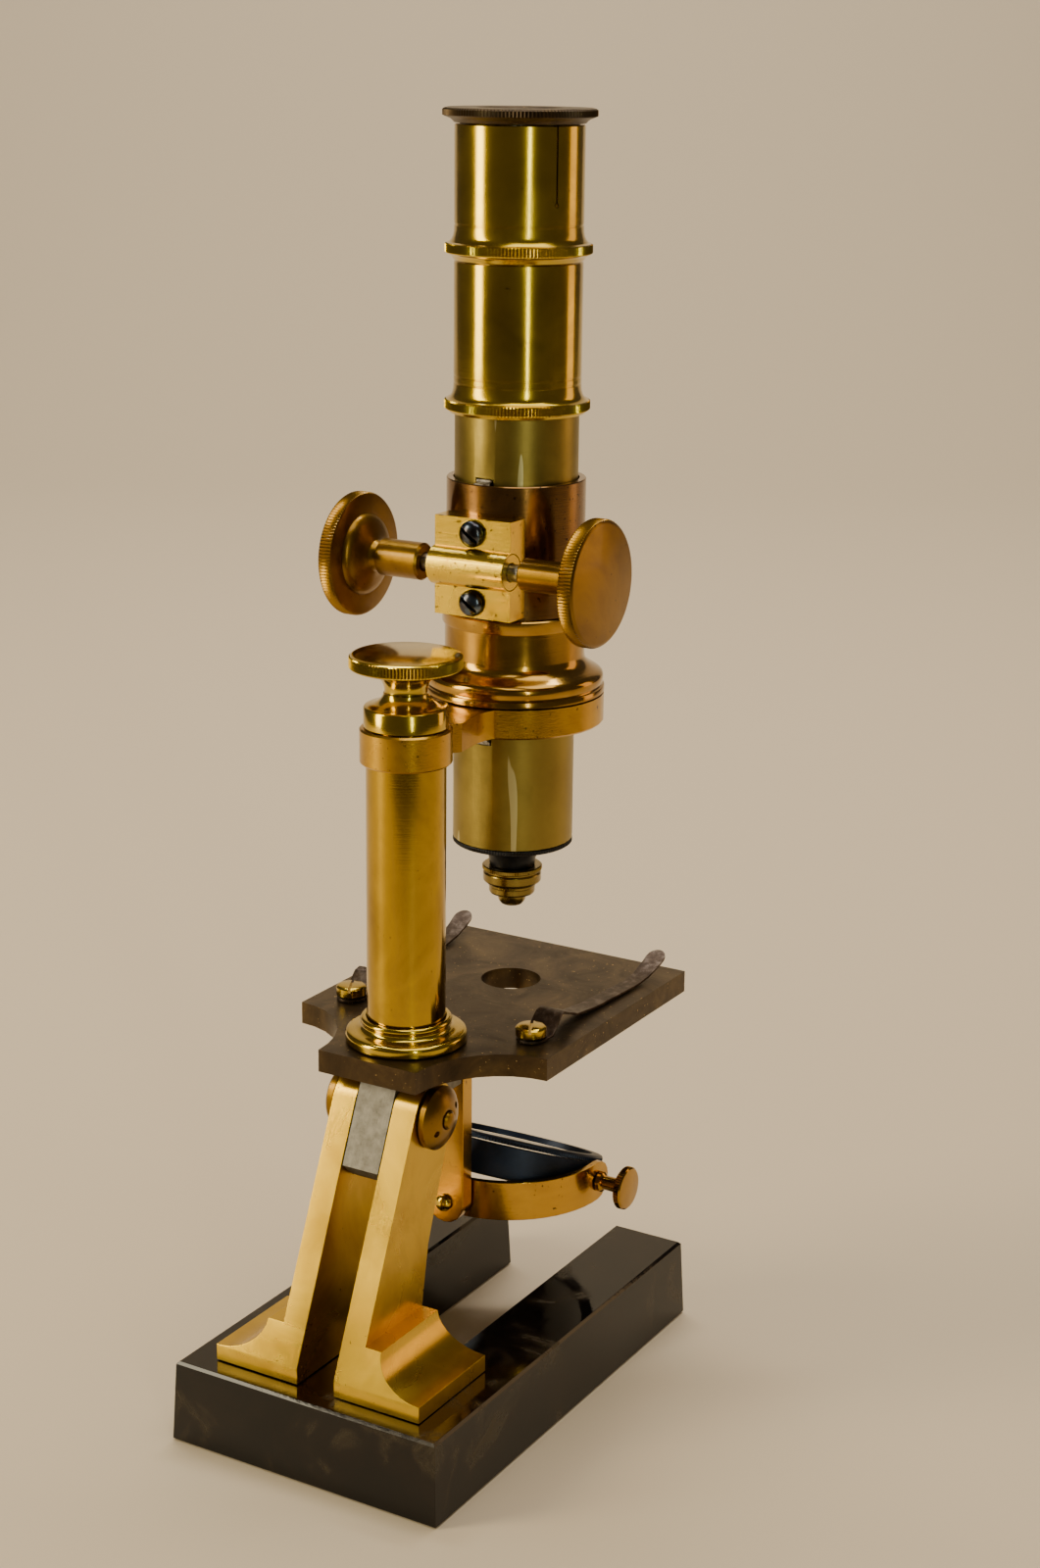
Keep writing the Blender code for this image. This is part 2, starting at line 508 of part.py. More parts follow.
def build_pinion():
    """Saddle block with its rounded housing, the cut pinion on its shaft, bush and milled heads."""
    at = (0, PINION_Y, PINION_Z)
    rear, saddle = PINION_Y - 0.64, SLEEVE_RADIUS + 0.16
    horn = AXIS_Y - math.sqrt(saddle ** 2 - BLOCK_HALF ** 2) + 0.6
    half = BLOCK_HEIGHT / 2
    tip = PITCH_RADIUS + 0.45
    housing = tip + 0.55
    body = block("pinion_block", -BLOCK_HALF, BLOCK_HALF, rear, horn, PINION_Z - half, PINION_Z + half,
                 "brass")
    combine(body, rod("pinion_housing", housing, "X", -BLOCK_HALF, BLOCK_HALF, at, 24), "UNION")
    combine(body, rod("saddle_cut", saddle, "Z", PINION_Z - 30, PINION_Z + 30, (0, AXIS_Y, 0), 48))
    combine(body, rod("pinion_chamber", tip + 0.2, "X", -2.6, BLOCK_HALF + 5, at, 24))
    combine(body, rod("pinion_bearing", 2.2, "X", -30, 30, at))
    for s, word in ((1, "upper"), (-1, "lower")):
        z = PINION_Z + s * 7.75
        combine(body, rod(f"block_hole_{word}", 1.5, "Y", -5, 9, (0, rear, z), 12))
        screw = turned(f"pinion_block_screw_{word}",
                       [(0, 2.2), (1.25, 2.2), (1.25, -GAP), (3.0, -GAP), (3.0, -0.7), (2.2, -1.7), (1.0, -2.2),
                        (0, -2.3)], (0, rear, z), "steel", "Y", 16)
        slot = block(f"block_slot_{word}", -0.35, 0.35, -3.0, -1.2, -5, 5, at=(0, rear, z))
        slot.rotation_euler = (0, math.radians(-52), 0)
        combine(screw, slot)
    bush = turned("pinion_bush", [(tip, BLOCK_HALF - 0.1), (tip, 2.9), (2.2, 2.9), (2.2, BLOCK_HALF - 0.1)],
                  at, "brass", "X", 24)
    combine(bush, rod("bush_saddle", saddle, "Z", PINION_Z - 30, PINION_Z + 30, (0, AXIS_Y, 0), 48))
    teeth = []
    base_radius = PITCH_RADIUS * math.cos(math.radians(20))
    thick = 0.30 / PITCH_RADIUS
    roll = math.tan(math.radians(20)) - math.radians(20)
    for k in range(PINION_TEETH):
        mid = math.pi * 2 * k / PINION_TEETH
        flank = [(PITCH_RADIUS - 0.62, thick + 0.03)]
        for r in (base_radius + 0.02, PITCH_RADIUS, tip):
            a = math.acos(base_radius / r)
            flank.append((r, thick + roll - (math.tan(a) - a)))
        pts = [(r, mid - h) for r, h in flank] + [(r, mid + h) for r, h in flank[::-1]]
        teeth += [(r * math.sin(a), r * math.cos(a)) for r, a in pts]
    gear = prism("pinion_shaft", [(y, -z) for z, y in teeth], "X", -2.2, 2.2, at, "steel")
    combine(gear, rod("shaft_core", 2.0, "X", -KNOB_FACE + 3.4, KNOB_FACE - 3.4, at, 16), "UNION")
    for side, word, boss in ((-1, "left", 4.2), (1, "right", 3.6)):
        inner, root = KNOB_FACE - 3.7, BLOCK_HALF + 3.0
        profile = [(0, KNOB_FACE), (KNOB_RADIUS - 1.2, KNOB_FACE), (KNOB_RADIUS, KNOB_FACE - 0.7),
                   (KNOB_RADIUS, inner + 0.6), (KNOB_RADIUS - 0.6, inner), (9.3, inner), (8.8, inner - 1.0),
                   (6.9, inner - 2.05), (3.6, inner - 3.3), (3.1, inner - 4.6), (boss, inner - 5.2), (boss, root),
                   (2.2, root), (2.2, KNOB_FACE - 3.2), (0, KNOB_FACE - 3.2)]
        knob = turned(f"coarse_knob_{word}", profile, at, "brass", "X", 32)
        if side < 0:
            knob.rotation_euler = (0, -math.pi / 2, 0)


# ---------------------------------------------------------------- optical tube
def build_tube():
    """Body tube with its rack, the fixed upper tube, nosepiece and objective."""
    at = (0, AXIS_Y, 0)
    b, t = TUBE_BOTTOM, TUBE_TOP
    body = turned("body_tube", [(TUBE_RADIUS, t), (TUBE_RADIUS, b), (TUBE_BORE, b), (TUBE_BORE, t)], at, "brass",
                  steps=32)
    back, tip, root = AXIS_Y - TUBE_RADIUS + 0.98, RACK_PITCH_Y - RACK_TOOTH, RACK_PITCH_Y + 0.6
    low, high = PINION_Z - 41.2, PINION_Z + 19.0
    combine(body, block("rack_seat", -2.25, 2.25, RACK_WAY_Y - 5, back + GAP, low - GAP, high + GAP))
    pitch = math.pi * TOOTH_MODULE
    lean = math.tan(math.radians(20))
    outline = [(back, low), (root, low)]
    first = math.ceil((low - PINION_Z) / pitch)
    k = first
    while PINION_Z + (k + 1) * pitch < high:
        mid = PINION_Z + (k + 0.5) * pitch
        outline += [(root, mid - 0.3 - lean * 0.6), (tip, mid - 0.3 + lean * 0.45),
                    (tip, mid + 0.3 - lean * 0.45), (root, mid + 0.3 + lean * 0.6)]
        k += 1
    outline += [(root, high), (back, high)]
    prism("focus_rack", outline, "X", -1.95, 1.95, kind="steel")
    seat = t + GAP
    turned("upper_tube",
           [(UPPER_RADIUS, t + UPPER_LENGTH), (UPPER_RADIUS, t + 6.0), (UPPER_RADIUS + 0.3, t + 4.6),
            (UPPER_RADIUS + 1.0, t + 3.5), (MILLED_RADIUS, t + 3.1), (MILLED_RADIUS, t + 1.0),
            (MILLED_RADIUS - 1.0, seat), (PLUG_RADIUS, seat), (PLUG_RADIUS, t - 12), (PLUG_BORE, t - 12),
            (PLUG_BORE, t + UPPER_LENGTH)], at, "brass", steps=32)
    turned("nosepiece",
           [(PLUG_RADIUS, b + 5.5), (PLUG_RADIUS, b - GAP), (TUBE_RADIUS, b - GAP), (TUBE_RADIUS, b - 1.1),
            (TUBE_RADIUS - 0.7, b - 1.5), (8.2, b - 1.7), (6.8, b - 2.6), (5.8, b - 4.5), (5.3, b - 7.0),
            (3.9, b - 7.0), (3.9, b - 0.4), (PLUG_RADIUS - 1.13, b + 0.6), (PLUG_RADIUS - 1.13, b + 5.5)],
           at, "black", steps=32)
    o = b - 7.0 - GAP
    turned("objective_mount",
           [(3.6, o + 4.5), (3.6, o), (6.8, o), (7.0, o - 0.3), (7.0, o - 1.0), (6.5, o - 1.3), (6.8, o - 1.7),
            (6.8, o - 3.9), (5.6, o - 4.6), (5.4, o - 6.6), (2.9, o - 6.8), (2.9, o + 4.5)], at, "brass", steps=24)
    turned("objective_front",
           [(2.6, o - 3.0), (2.6, o - 7.05), (3.3, o - 7.05), (3.2, o - 8.6), (2.5, o - 9.7), (1.6, o - 9.7),
            (1.6, o - 8.2), (2.0, o - 8.0), (2.0, o - 3.0)], at, "brass", steps=20)
    turned("objective_lens",
           [(0, o - 6.2), (0.9, o - 6.5), (1.65, o - 7.3), (1.65, o - 7.7), (0, o - 7.7)], at, "glass", steps=16)


def build_draw():
    """Sprung eyepiece socket on the draw tube."""
    at = (0, AXIS_Y, 0)
    s = TUBE_TOP + UPPER_LENGTH + GAP
    socket = turned("eyepiece_socket",
                    [(UPPER_RADIUS, s + SOCKET_LENGTH), (UPPER_RADIUS, s + 6.8), (UPPER_RADIUS + 0.3, s + 5.3),
                     (UPPER_RADIUS + 1.0, s + 4.2), (MILLED_RADIUS, s + 3.8), (MILLED_RADIUS, s + 1.7),
                     (UPPER_RADIUS + 0.9, s + 1.2), (UPPER_RADIUS + 0.3, s + 0.5), (UPPER_RADIUS, s),
                     (PLUG_BORE, s), (PLUG_BORE, s + 5.6), (SOCKET_BORE, s + 5.6), (SOCKET_BORE, s + SOCKET_LENGTH)],
                    at, "brass", steps=32)
    slit = block("slit", 0, UPPER_RADIUS + 6, -0.25, 0.25, s + 12.4, s + SOCKET_LENGTH + 9, at=at)
    end = rod("slit_end", 0.55, "X", UPPER_RADIUS - 5, UPPER_RADIUS + 6, (0, AXIS_Y, s + 12.4), 12)
    for tool in (slit, end):
        tool.rotation_euler[2] = math.radians(-25.2)
        combine(socket, tool)
    bore = DRAW_RADIUS - DRAW_WALL
    turned("draw_tube", [(DRAW_RADIUS, s + 5.3), (DRAW_RADIUS, s - 48), (bore, s - 48), (bore, s + 5.3)], at, "brass")


def build_eyepiece():
    """Huygenian eyepiece: milled cap, push tube, stop and two lenses."""
    at = (0, AXIS_Y, 0)
    c = TUBE_TOP + UPPER_LENGTH + GAP + SOCKET_LENGTH + GAP
    push, bore = PUSH_RADIUS, PUSH_BORE
    turned("eyepiece_cap",
                 [(CAP_RADIUS - 0.6, c + 3.2), (CAP_RADIUS, c + 2.8), (CAP_RADIUS, c + 1.5),
                  (UPPER_RADIUS + 1.3, c + 0.9), (UPPER_RADIUS + 0.1, c), (bore + 0.2, c), (bore + 0.2, c + 1.1),
                  (5.6, c + 1.1), (5.6, c + 2.2), (7.4, c + 2.2), (9.6, c + 3.2)], at, "bronze", steps=32)
    turned("eyepiece_tube", [(push, c - GAP), (push, c - 22.8), (bore, c - 22.8), (bore, c - GAP)], at, "brass")
    rim = bore - GAP
    turned("eyepiece_stop", [(rim, c - 9.0), (rim, c - 12.0), (rim - 0.85, c - 12.0), (rim - 0.85, c - 10.0),
                             (6.5, c - 10.0), (6.5, c - 9.0)], at, "black")
    turned("eye_lens", [(0, c + 1.9), (5.3, c + 1.9), (5.3, c + 1.4), (3.2, c + 0.1), (0, c - 0.5)], at, "glass",
           steps=24)
    turned("field_lens", [(0, c - 19.5), (bore - 0.3, c - 19.5), (bore - 0.3, c - 20.2), (7.5, c - 21.8),
                          (0, c - 22.6)], at, "glass", steps=24)


# ---------------------------------------------------------------- mirror
def build_mirror():
    """Flat bar under the stage, sprung semicircular fork and the two-sided mirror on its pivots."""
    front = BAR_BACK + BAR_THICK
    outline = arc(0, MIRROR_Z, 5.0, 5.0, 180, 360, 8) + [(5.0, STAGE_UNDER - GAP), (-5.0, STAGE_UNDER - GAP)]
    bar = prism("mirror_bar", outline, "Y", BAR_BACK, front, kind="brass")
    fixing = TRUNNION_Z + 3.4
    combine(bar, rod("bar_pivot_hole", 1.5, "Y", -5, 9, (0, BAR_BACK, MIRROR_Z), 12))
    combine(bar, rod("bar_fixing_hole", 1.95, "Y", -5, 9, (0, BAR_BACK, fixing), 12))
    screw = turned("mirror_bar_screw",
                   [(0, 2.1), (1.4, 1.9), (2.9, 1.0), (3.1, 0.4), (3.1, 0), (1.7, 0), (1.7, -11.0), (0, -11.0)],
                   (0, front + GAP, fixing), "brass", "Y", 16)
    combine(screw, block("bar_slot", -4, 4, 1.1, 5, -0.3, 0.3, at=(0, front + GAP, fixing)))
    pivot = (0, AXIS_Y, MIRROR_Z)
    inner = FORK_RADIUS - FORK_THICK
    plan = arc(0, 0, FORK_RADIUS, FORK_RADIUS, 180, 360, 28)
    plan = [(-FORK_RADIUS, FORK_HALF + 1)] + plan + [(FORK_RADIUS, FORK_HALF + 1), (inner, FORK_HALF + 1)]
    plan += arc(0, 0, inner, inner, 0, -180, 28) + [(-inner, FORK_HALF + 1)]
    fork = prism("mirror_fork", plan, "Z", -FORK_HALF - 1, FORK_HALF + 1, pivot, "brass")
    side = [(-40, -FORK_HALF)] + arc(0, 0, FORK_HALF, FORK_HALF, -90, 90, 8) + [(-40, FORK_HALF)]
    combine(fork, prism("fork_shape", side, "X", -40, 40, pivot), "INTERSECT")
    combine(fork, rod("fork_pivots", 1.4, "X", -40, 40, pivot, 12))
    combine(fork, rod("fork_rear_hole", 1.4, "Y", -40, 0, pivot, 12))
    rear = BAR_BACK - GAP
    turned("fork_pivot_pin",
           [(0, AXIS_Y - inner - 0.3), (1.2, AXIS_Y - inner - 0.3), (1.2, rear), (2.0, rear), (2.0, rear - 0.5),
            (1.3, rear - 1.2), (0, rear - 1.5)], (0, 0, MIRROR_Z), "brass", "Y", 16)
    r, top, low = MIRROR_RADIUS, MIRROR_RISE, -MIRROR_DROP
    seat, well = r - 1.8, r - 2.1
    cell = turned("mirror_cell",
                  [(0, top - 3.25), (seat, top - 3.25), (seat, top - 1.7), (r, top - 1.7), (r, low + 0.6),
                   (r - 0.6, low), (r - 2.8, low), (r - 2.8, low + 0.35), (seat, low + 0.35), (seat, low + 2.85),
                   (0, low + 2.85)], pivot, "black", steps=32)
    bezel = turned("mirror_bezel",
                   [(r - 2.8, top), (r - 0.4, top), (r, top - 0.4), (r, top - 1.4), (r - 2.8, top - 1.4)],
                   pivot, "black", steps=32)
    plane = turned("plane_mirror", [(0, top - 1.7), (well, top - 1.7), (well, top - 3.0), (0, top - 3.0)],
                   pivot, "glass", steps=32)
    back = low + 2.6
    concave = turned("concave_mirror", [(0, back), (well, back), (well, low + 0.6), (well * 0.7, low + 1.2),
                                        (well * 0.35, low + 1.55), (0, low + 1.7)], pivot, "glass", steps=32)
    for side_name, s in (("left", -1), ("right", 1)):
        combine(cell, rod(f"cell_pivot_{side_name}", 1.25, "X", *sorted((s * (r - 1.5), s * 30)), pivot, 12))
        out = FORK_RADIUS + GAP
        knob = turned(f"mirror_thumb_screw_{side_name}",
                      [(0, out + 8.1), (4.7, out + 8.1), (5.1, out + 7.7), (5.1, out + 6.4), (4.7, out + 6.0),
                       (1.7, out + 6.0), (1.7, out + 1.0), (2.4, out + 1.0), (2.4, out), (1.1, out), (1.1, r - 1.2),
                       (0, r - 1.2)], pivot, "brass", "X", 20)
        if s < 0:
            knob.rotation_euler = (0, -math.pi / 2, 0)
    for obj in (cell, bezel, plane, concave):
        obj.rotation_euler = (-MIRROR_TILT, 0, 0)


build_foot()
build_pillar("pillar_left", -1)
build_pillar("pillar_right", 1)
build_trunnion()
build_joint_block()
build_stage()
build_clip("left", -1)
build_clip("right", 1)
build_column()
build_arm()
build_pinion()
build_tube()
build_draw()
build_eyepiece()
build_mirror()
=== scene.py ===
"""Nineteenth century brass compound microscope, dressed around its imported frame."""
import math

import bpy
from mathutils import Euler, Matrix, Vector


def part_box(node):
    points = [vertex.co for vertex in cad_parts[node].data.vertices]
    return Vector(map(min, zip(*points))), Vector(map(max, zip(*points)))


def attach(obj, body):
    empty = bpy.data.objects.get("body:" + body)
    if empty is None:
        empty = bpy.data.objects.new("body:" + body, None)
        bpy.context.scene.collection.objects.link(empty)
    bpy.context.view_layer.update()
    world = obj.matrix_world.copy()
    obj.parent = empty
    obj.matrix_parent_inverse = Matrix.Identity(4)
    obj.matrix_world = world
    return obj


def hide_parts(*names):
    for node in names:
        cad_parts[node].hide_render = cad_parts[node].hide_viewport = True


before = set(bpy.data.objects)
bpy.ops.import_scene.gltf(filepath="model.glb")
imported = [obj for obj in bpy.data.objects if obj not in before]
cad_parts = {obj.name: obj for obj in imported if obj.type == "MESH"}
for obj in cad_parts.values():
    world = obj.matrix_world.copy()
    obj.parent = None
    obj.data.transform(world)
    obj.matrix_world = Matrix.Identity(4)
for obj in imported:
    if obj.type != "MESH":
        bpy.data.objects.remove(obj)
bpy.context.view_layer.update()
MM = 0.001

# --- Camera -------------------------------------------------------------------------------
# A short telephoto view from behind the right shoulder of the observer, a little above the
# milled heads, so both the pillars and the open end of the foot are seen.
camera_data = bpy.data.cameras.new("viewpoint")
camera_data.sensor_fit = "AUTO"
camera_data.sensor_width = 36.0
camera_data.lens = 59.08
camera = bpy.data.objects.new("viewpoint", camera_data)
camera.location = (0.29243, -0.46331, 0.30278)
turn, nod, roll = math.radians(30.47), math.radians(16.07), math.radians(0.67)
camera.rotation_mode = "QUATERNION"
look = Euler((math.pi / 2 - nod, 0.0, turn)).to_quaternion()
camera.rotation_quaternion = look @ Euler((0.0, 0.0, roll)).to_quaternion()
bpy.context.scene.collection.objects.link(camera)
bpy.context.scene.camera = camera


# --- Table and light ----------------------------------------------------------------------
# A pale matt table running up into a soft backdrop, lit by a bank overhead, a tall broad
# window on the left, a hairline strip near the viewpoint, a warm reflector on the right and a
# wash on the backdrop, in a dim room: they draw the light and dark bands of turned brass.
def linear(code):
    """Turn an sRGB hex value into a linear colour with full alpha."""
    parts = [int(code[i:i + 2], 16) / 255 for i in (1, 3, 5)]
    return tuple(c / 12.92 if c <= 0.04045 else ((c + 0.055) / 1.055) ** 2.4 for c in parts) + (1.0,)


def new_material(name):
    mat = bpy.data.materials.new(name)
    mat.use_nodes = True
    mat.node_tree.nodes.clear()
    return mat


def add(mat, kind, sockets=None, stops=None, **settings):
    """Add one shader node, set its properties and sockets, and link what feeds it."""
    node = mat.node_tree.nodes.new("ShaderNode" + kind)
    for key, value in settings.items():
        setattr(node, key, value)
    if stops:
        ramp = node.color_ramp
        while len(ramp.elements) < len(stops):
            ramp.elements.new(0.5)
        for element, (place, colour) in zip(ramp.elements, stops):
            element.position = place
            element.color = linear(colour) if isinstance(colour, str) else (colour, colour, colour, 1.0)
    for key, value in (sockets or {}).items():
        if isinstance(value, bpy.types.NodeSocket):
            mat.node_tree.links.new(value, node.inputs[key])
        else:
            node.inputs[key].default_value = value
    return node


def select_only(obj):
    bpy.ops.object.select_all(action="DESELECT")
    obj.select_set(True)
    bpy.context.view_layer.objects.active = obj


matt_board = new_material("painted_board_matt")
shader = add(matt_board, "BsdfPrincipled", {"Base Color": linear("#dccaac"), "Roughness": 0.6})
add(matt_board, "OutputMaterial", {"Surface": shader.outputs[0]})

bpy.ops.object.select_all(action="DESELECT")
bpy.ops.mesh.primitive_plane_add(size=2.6, location=(0.0, 0.85, -0.0004))
table = bpy.context.object
table.name = "table"
bpy.ops.object.mode_set(mode="EDIT")
bpy.ops.mesh.select_all(action="DESELECT")
bpy.ops.object.mode_set(mode="OBJECT")
for edge in table.data.edges:
    edge.select = all(table.data.vertices[i].co.y > 1.2 for i in edge.vertices)
bpy.ops.object.mode_set(mode="EDIT")
bpy.ops.mesh.extrude_region_move(TRANSFORM_OT_translate={"value": (0.0, 0.0, 3.0)})
bpy.ops.mesh.select_all(action="DESELECT")
bpy.ops.object.mode_set(mode="OBJECT")
for edge in table.data.edges:
    ends = [table.data.vertices[i].co for i in edge.vertices]
    edge.select = all(c.y > 1.2 and c.z < 0.1 for c in ends)
bpy.ops.object.mode_set(mode="EDIT")
bpy.ops.mesh.bevel(offset=0.9, segments=16, affect="EDGES")
bpy.ops.object.mode_set(mode="OBJECT")
bpy.ops.object.transform_apply(location=True)
table.rotation_euler = (0.0, 0.0, turn)
bpy.ops.object.shade_smooth()
table.data.materials.append(matt_board)

world = bpy.data.worlds.new("room")
bpy.context.scene.world = world
world.use_nodes = True
world.node_tree.nodes["Background"].inputs["Color"].default_value = linear("#7d7264")
world.node_tree.nodes["Background"].inputs["Strength"].default_value = 0.42


def softbox(name, place, size, power, colour, aim=(0.0, 0.0, 0.15)):
    """A rectangular light, aimed at the middle of the instrument unless told otherwise."""
    data = bpy.data.lights.new(name, "AREA")
    data.shape = "RECTANGLE"
    data.size, data.size_y = size
    data.energy = power
    data.color = linear(colour)[:3]
    light = bpy.data.objects.new(name, data)
    light.location = place
    light.rotation_euler = (Vector(aim) - Vector(place)).to_track_quat("-Z", "Y").to_euler()
    bpy.context.scene.collection.objects.link(light)


softbox("bank_overhead", (0.10, 0.10, 1.20), (1.0, 0.8), 8.0, "#fff6ea")
softbox("window_left", (-0.76, -0.78, 0.50), (0.30, 0.9), 10.5, "#fff0cc")
softbox("hairline", (0.96, -0.84, 0.42), (0.035, 0.8), 2.6, "#fbffe0")
softbox("reflector_right", (0.78, 0.92, 0.38), (0.4, 0.8), 1.8, "#ffcf94")
softbox("backdrop_wash", (-0.35, 0.60, 1.70), (1.4, 0.4), 26.0, "#fffaf2", aim=(-0.95, 1.60, 0.35))


# --- Foot ---------------------------------------------------------------------------------
# A horseshoe of cast iron, ground flat underneath and stoved with several coats of black
# japan. The gloss is deep, the arrises are rubbed through to a pale line, and the back of
# the heel is smeared and cloudy from handling.
def recut(node, name, radius, segments=2, edge_slot=1, sharp=30.0):
    """Copy a frame solid, weld it, clear its flat faces and soften its arrises."""
    bpy.ops.object.select_all(action="DESELECT")
    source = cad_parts[node]
    piece = bpy.data.objects.new(name, source.data.copy())
    piece.data.name = name
    piece.data.materials.clear()
    bpy.context.scene.collection.objects.link(piece)
    select_only(piece)
    bpy.ops.object.mode_set(mode="EDIT")
    bpy.ops.mesh.select_all(action="SELECT")
    bpy.ops.mesh.remove_doubles(threshold=0.000002)
    bpy.ops.mesh.dissolve_limited(angle_limit=math.radians(0.6))
    bpy.ops.mesh.select_all(action="DESELECT")
    bpy.ops.mesh.select_mode(type="EDGE")
    bpy.ops.mesh.edges_select_sharp(sharpness=math.radians(sharp))
    if radius:
        bpy.ops.mesh.bevel(offset=radius * MM, segments=segments, affect="EDGES", clamp_overlap=True,
                           material=edge_slot)
    bpy.ops.mesh.select_all(action="DESELECT")
    bpy.ops.mesh.select_mode(type="VERT")
    bpy.ops.object.mode_set(mode="OBJECT")
    bpy.ops.object.shade_smooth_by_angle(angle=math.radians(32))
    bpy.ops.object.modifier_add(type="WEIGHTED_NORMAL")
    piece.modifiers[-1].keep_sharp = True
    bpy.ops.object.modifier_apply(modifier=piece.modifiers[-1].name)
    return piece


def fit(piece, body, nodes, slot, *finishes):
    """Give a finished piece its surfaces, its body, the frame nodes it stands for and its slot."""
    indices = [face.material_index for face in piece.data.polygons]
    piece.data.materials.clear()
    for finish in finishes:
        piece.data.materials.append(finish)
    for face, index in zip(piece.data.polygons, indices):
        face.material_index = min(index, len(finishes) - 1)
    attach(piece, body)
    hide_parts(*nodes)


# black stoving japan: dark, wet gloss with cloudy hand marks in the roughness
black_japan = new_material("stoved_black_japan")
place = add(black_japan, "TexCoord")
cloud = add(black_japan, "TexNoise", {"Vector": place.outputs["Object"], "Scale": 38.0, "Detail": 6.0,
                                      "Roughness": 0.62, "Distortion": 1.4})
tint = add(black_japan, "ValToRGB", {"Fac": cloud.outputs["Fac"]},
           stops=[(0.44, "#090504"), (0.56, "#140c08"), (0.68, "#3b3222")])
wipe = add(black_japan, "ValToRGB", {"Fac": cloud.outputs["Fac"]},
           stops=[(0.45, 0.05), (0.57, 0.13), (0.68, 0.42)])
ripple = add(black_japan, "TexNoise", {"Vector": place.outputs["Object"], "Scale": 900.0, "Detail": 2.0})
skin = add(black_japan, "Bump", {"Height": ripple.outputs["Fac"], "Strength": 0.05, "Distance": 0.0002})
shader = add(black_japan, "BsdfPrincipled",
             {"Base Color": tint.outputs["Color"], "Roughness": wipe.outputs["Color"], "IOR": 1.42,
              "Normal": skin.outputs["Normal"]})
add(black_japan, "OutputMaterial", {"Surface": shader.outputs[0]})

# japan rubbed through on the arrises: broken pale metal line between dark remains, 1 to 4 mm long
rubbed_edge = new_material("japan_rubbed_edge")
place = add(rubbed_edge, "TexCoord")
chips = add(rubbed_edge, "TexNoise", {"Vector": place.outputs["Object"], "Scale": 260.0, "Detail": 5.0,
                                      "Roughness": 0.7})
tint = add(rubbed_edge, "ValToRGB", {"Fac": chips.outputs["Fac"]},
           stops=[(0.36, "#1a120d"), (0.47, "#7d6b4c"), (0.58, "#cbb88c")])
shine = add(rubbed_edge, "ValToRGB", {"Fac": chips.outputs["Fac"]}, stops=[(0.38, 0.0), (0.50, 0.85)])
shader = add(rubbed_edge, "BsdfPrincipled", {"Base Color": tint.outputs["Color"],
                                             "Metallic": shine.outputs["Color"],
                                             "Roughness": 0.30})
add(rubbed_edge, "OutputMaterial", {"Surface": shader.outputs[0]})

foot = recut("foot_block", "foot_casting", 0.42, 3)
fit(foot, "foot", ["foot_block"], "japanned_foot", black_japan, rubbed_edge)


# --- Pillar fixing screws -----------------------------------------------------------------
# Four cheese-head steel screws let into the underside of the foot, each tapped up into a
# pillar; turned bright, then slotted with a hacksaw.
def lathe(name, profile, centre, axis="Z", steps=96, sharp=32.0):
    """Draw a point along a (radius, height) profile in millimetres and spin it about the axis."""
    out = {"Z": Vector((1, 0, 0)), "X": Vector((0, 1, 0)), "Y": Vector((1, 0, 0))}[axis]
    along = {"Z": Vector((0, 0, 1)), "X": Vector((1, 0, 0)), "Y": Vector((0, 1, 0))}[axis]
    centre = Vector(centre)
    points = [out * (r * MM) + along * (h * MM) for r, h in profile]
    if profile[0][0] > 0 and profile[-1] != profile[0]:
        points.append(points[0])
    bpy.ops.object.select_all(action="DESELECT")
    bpy.ops.mesh.primitive_plane_add(size=0.001, location=centre)
    piece = bpy.context.object
    piece.name = piece.data.name = name
    bpy.ops.object.mode_set(mode="EDIT")
    bpy.ops.mesh.select_all(action="SELECT")
    bpy.ops.mesh.merge(type="CENTER")
    bpy.ops.transform.translate(value=points[0])
    for start, end in zip(points, points[1:]):
        bpy.ops.mesh.extrude_region_move(TRANSFORM_OT_translate={"value": end - start})
    bpy.ops.mesh.select_all(action="SELECT")
    bpy.ops.mesh.spin(steps=steps, angle=math.tau, center=centre, axis=along)
    bpy.ops.mesh.select_all(action="SELECT")
    bpy.ops.mesh.remove_doubles(threshold=0.000004)
    bpy.ops.mesh.normals_make_consistent(inside=False)
    bpy.ops.object.mode_set(mode="OBJECT")
    bpy.ops.object.transform_apply(location=True, rotation=True, scale=True)
    bpy.ops.object.shade_smooth_by_angle(angle=math.radians(sharp))
    return piece


def cut(piece, tool):
    """Take one solid out of another and throw the cutter away."""
    select_only(piece)
    work = piece.modifiers.new("cut", "BOOLEAN")
    work.solver = "EXACT"
    work.object = tool
    bpy.ops.object.modifier_apply(modifier="cut")
    bpy.data.objects.remove(tool, do_unlink=True)
    bpy.ops.object.shade_smooth_by_angle(angle=math.radians(32))


def bar(size, centre, turn_about=(0.0, 0.0, 0.0)):
    """A plain bar in millimetres, used as a saw or a drill for slots."""
    bpy.ops.object.select_all(action="DESELECT")
    bpy.ops.mesh.primitive_cube_add(size=1.0, location=centre, rotation=turn_about)
    tool = bpy.context.object
    tool.scale = [s * MM for s in size]
    bpy.ops.object.transform_apply(location=False, rotation=True, scale=True)
    return tool


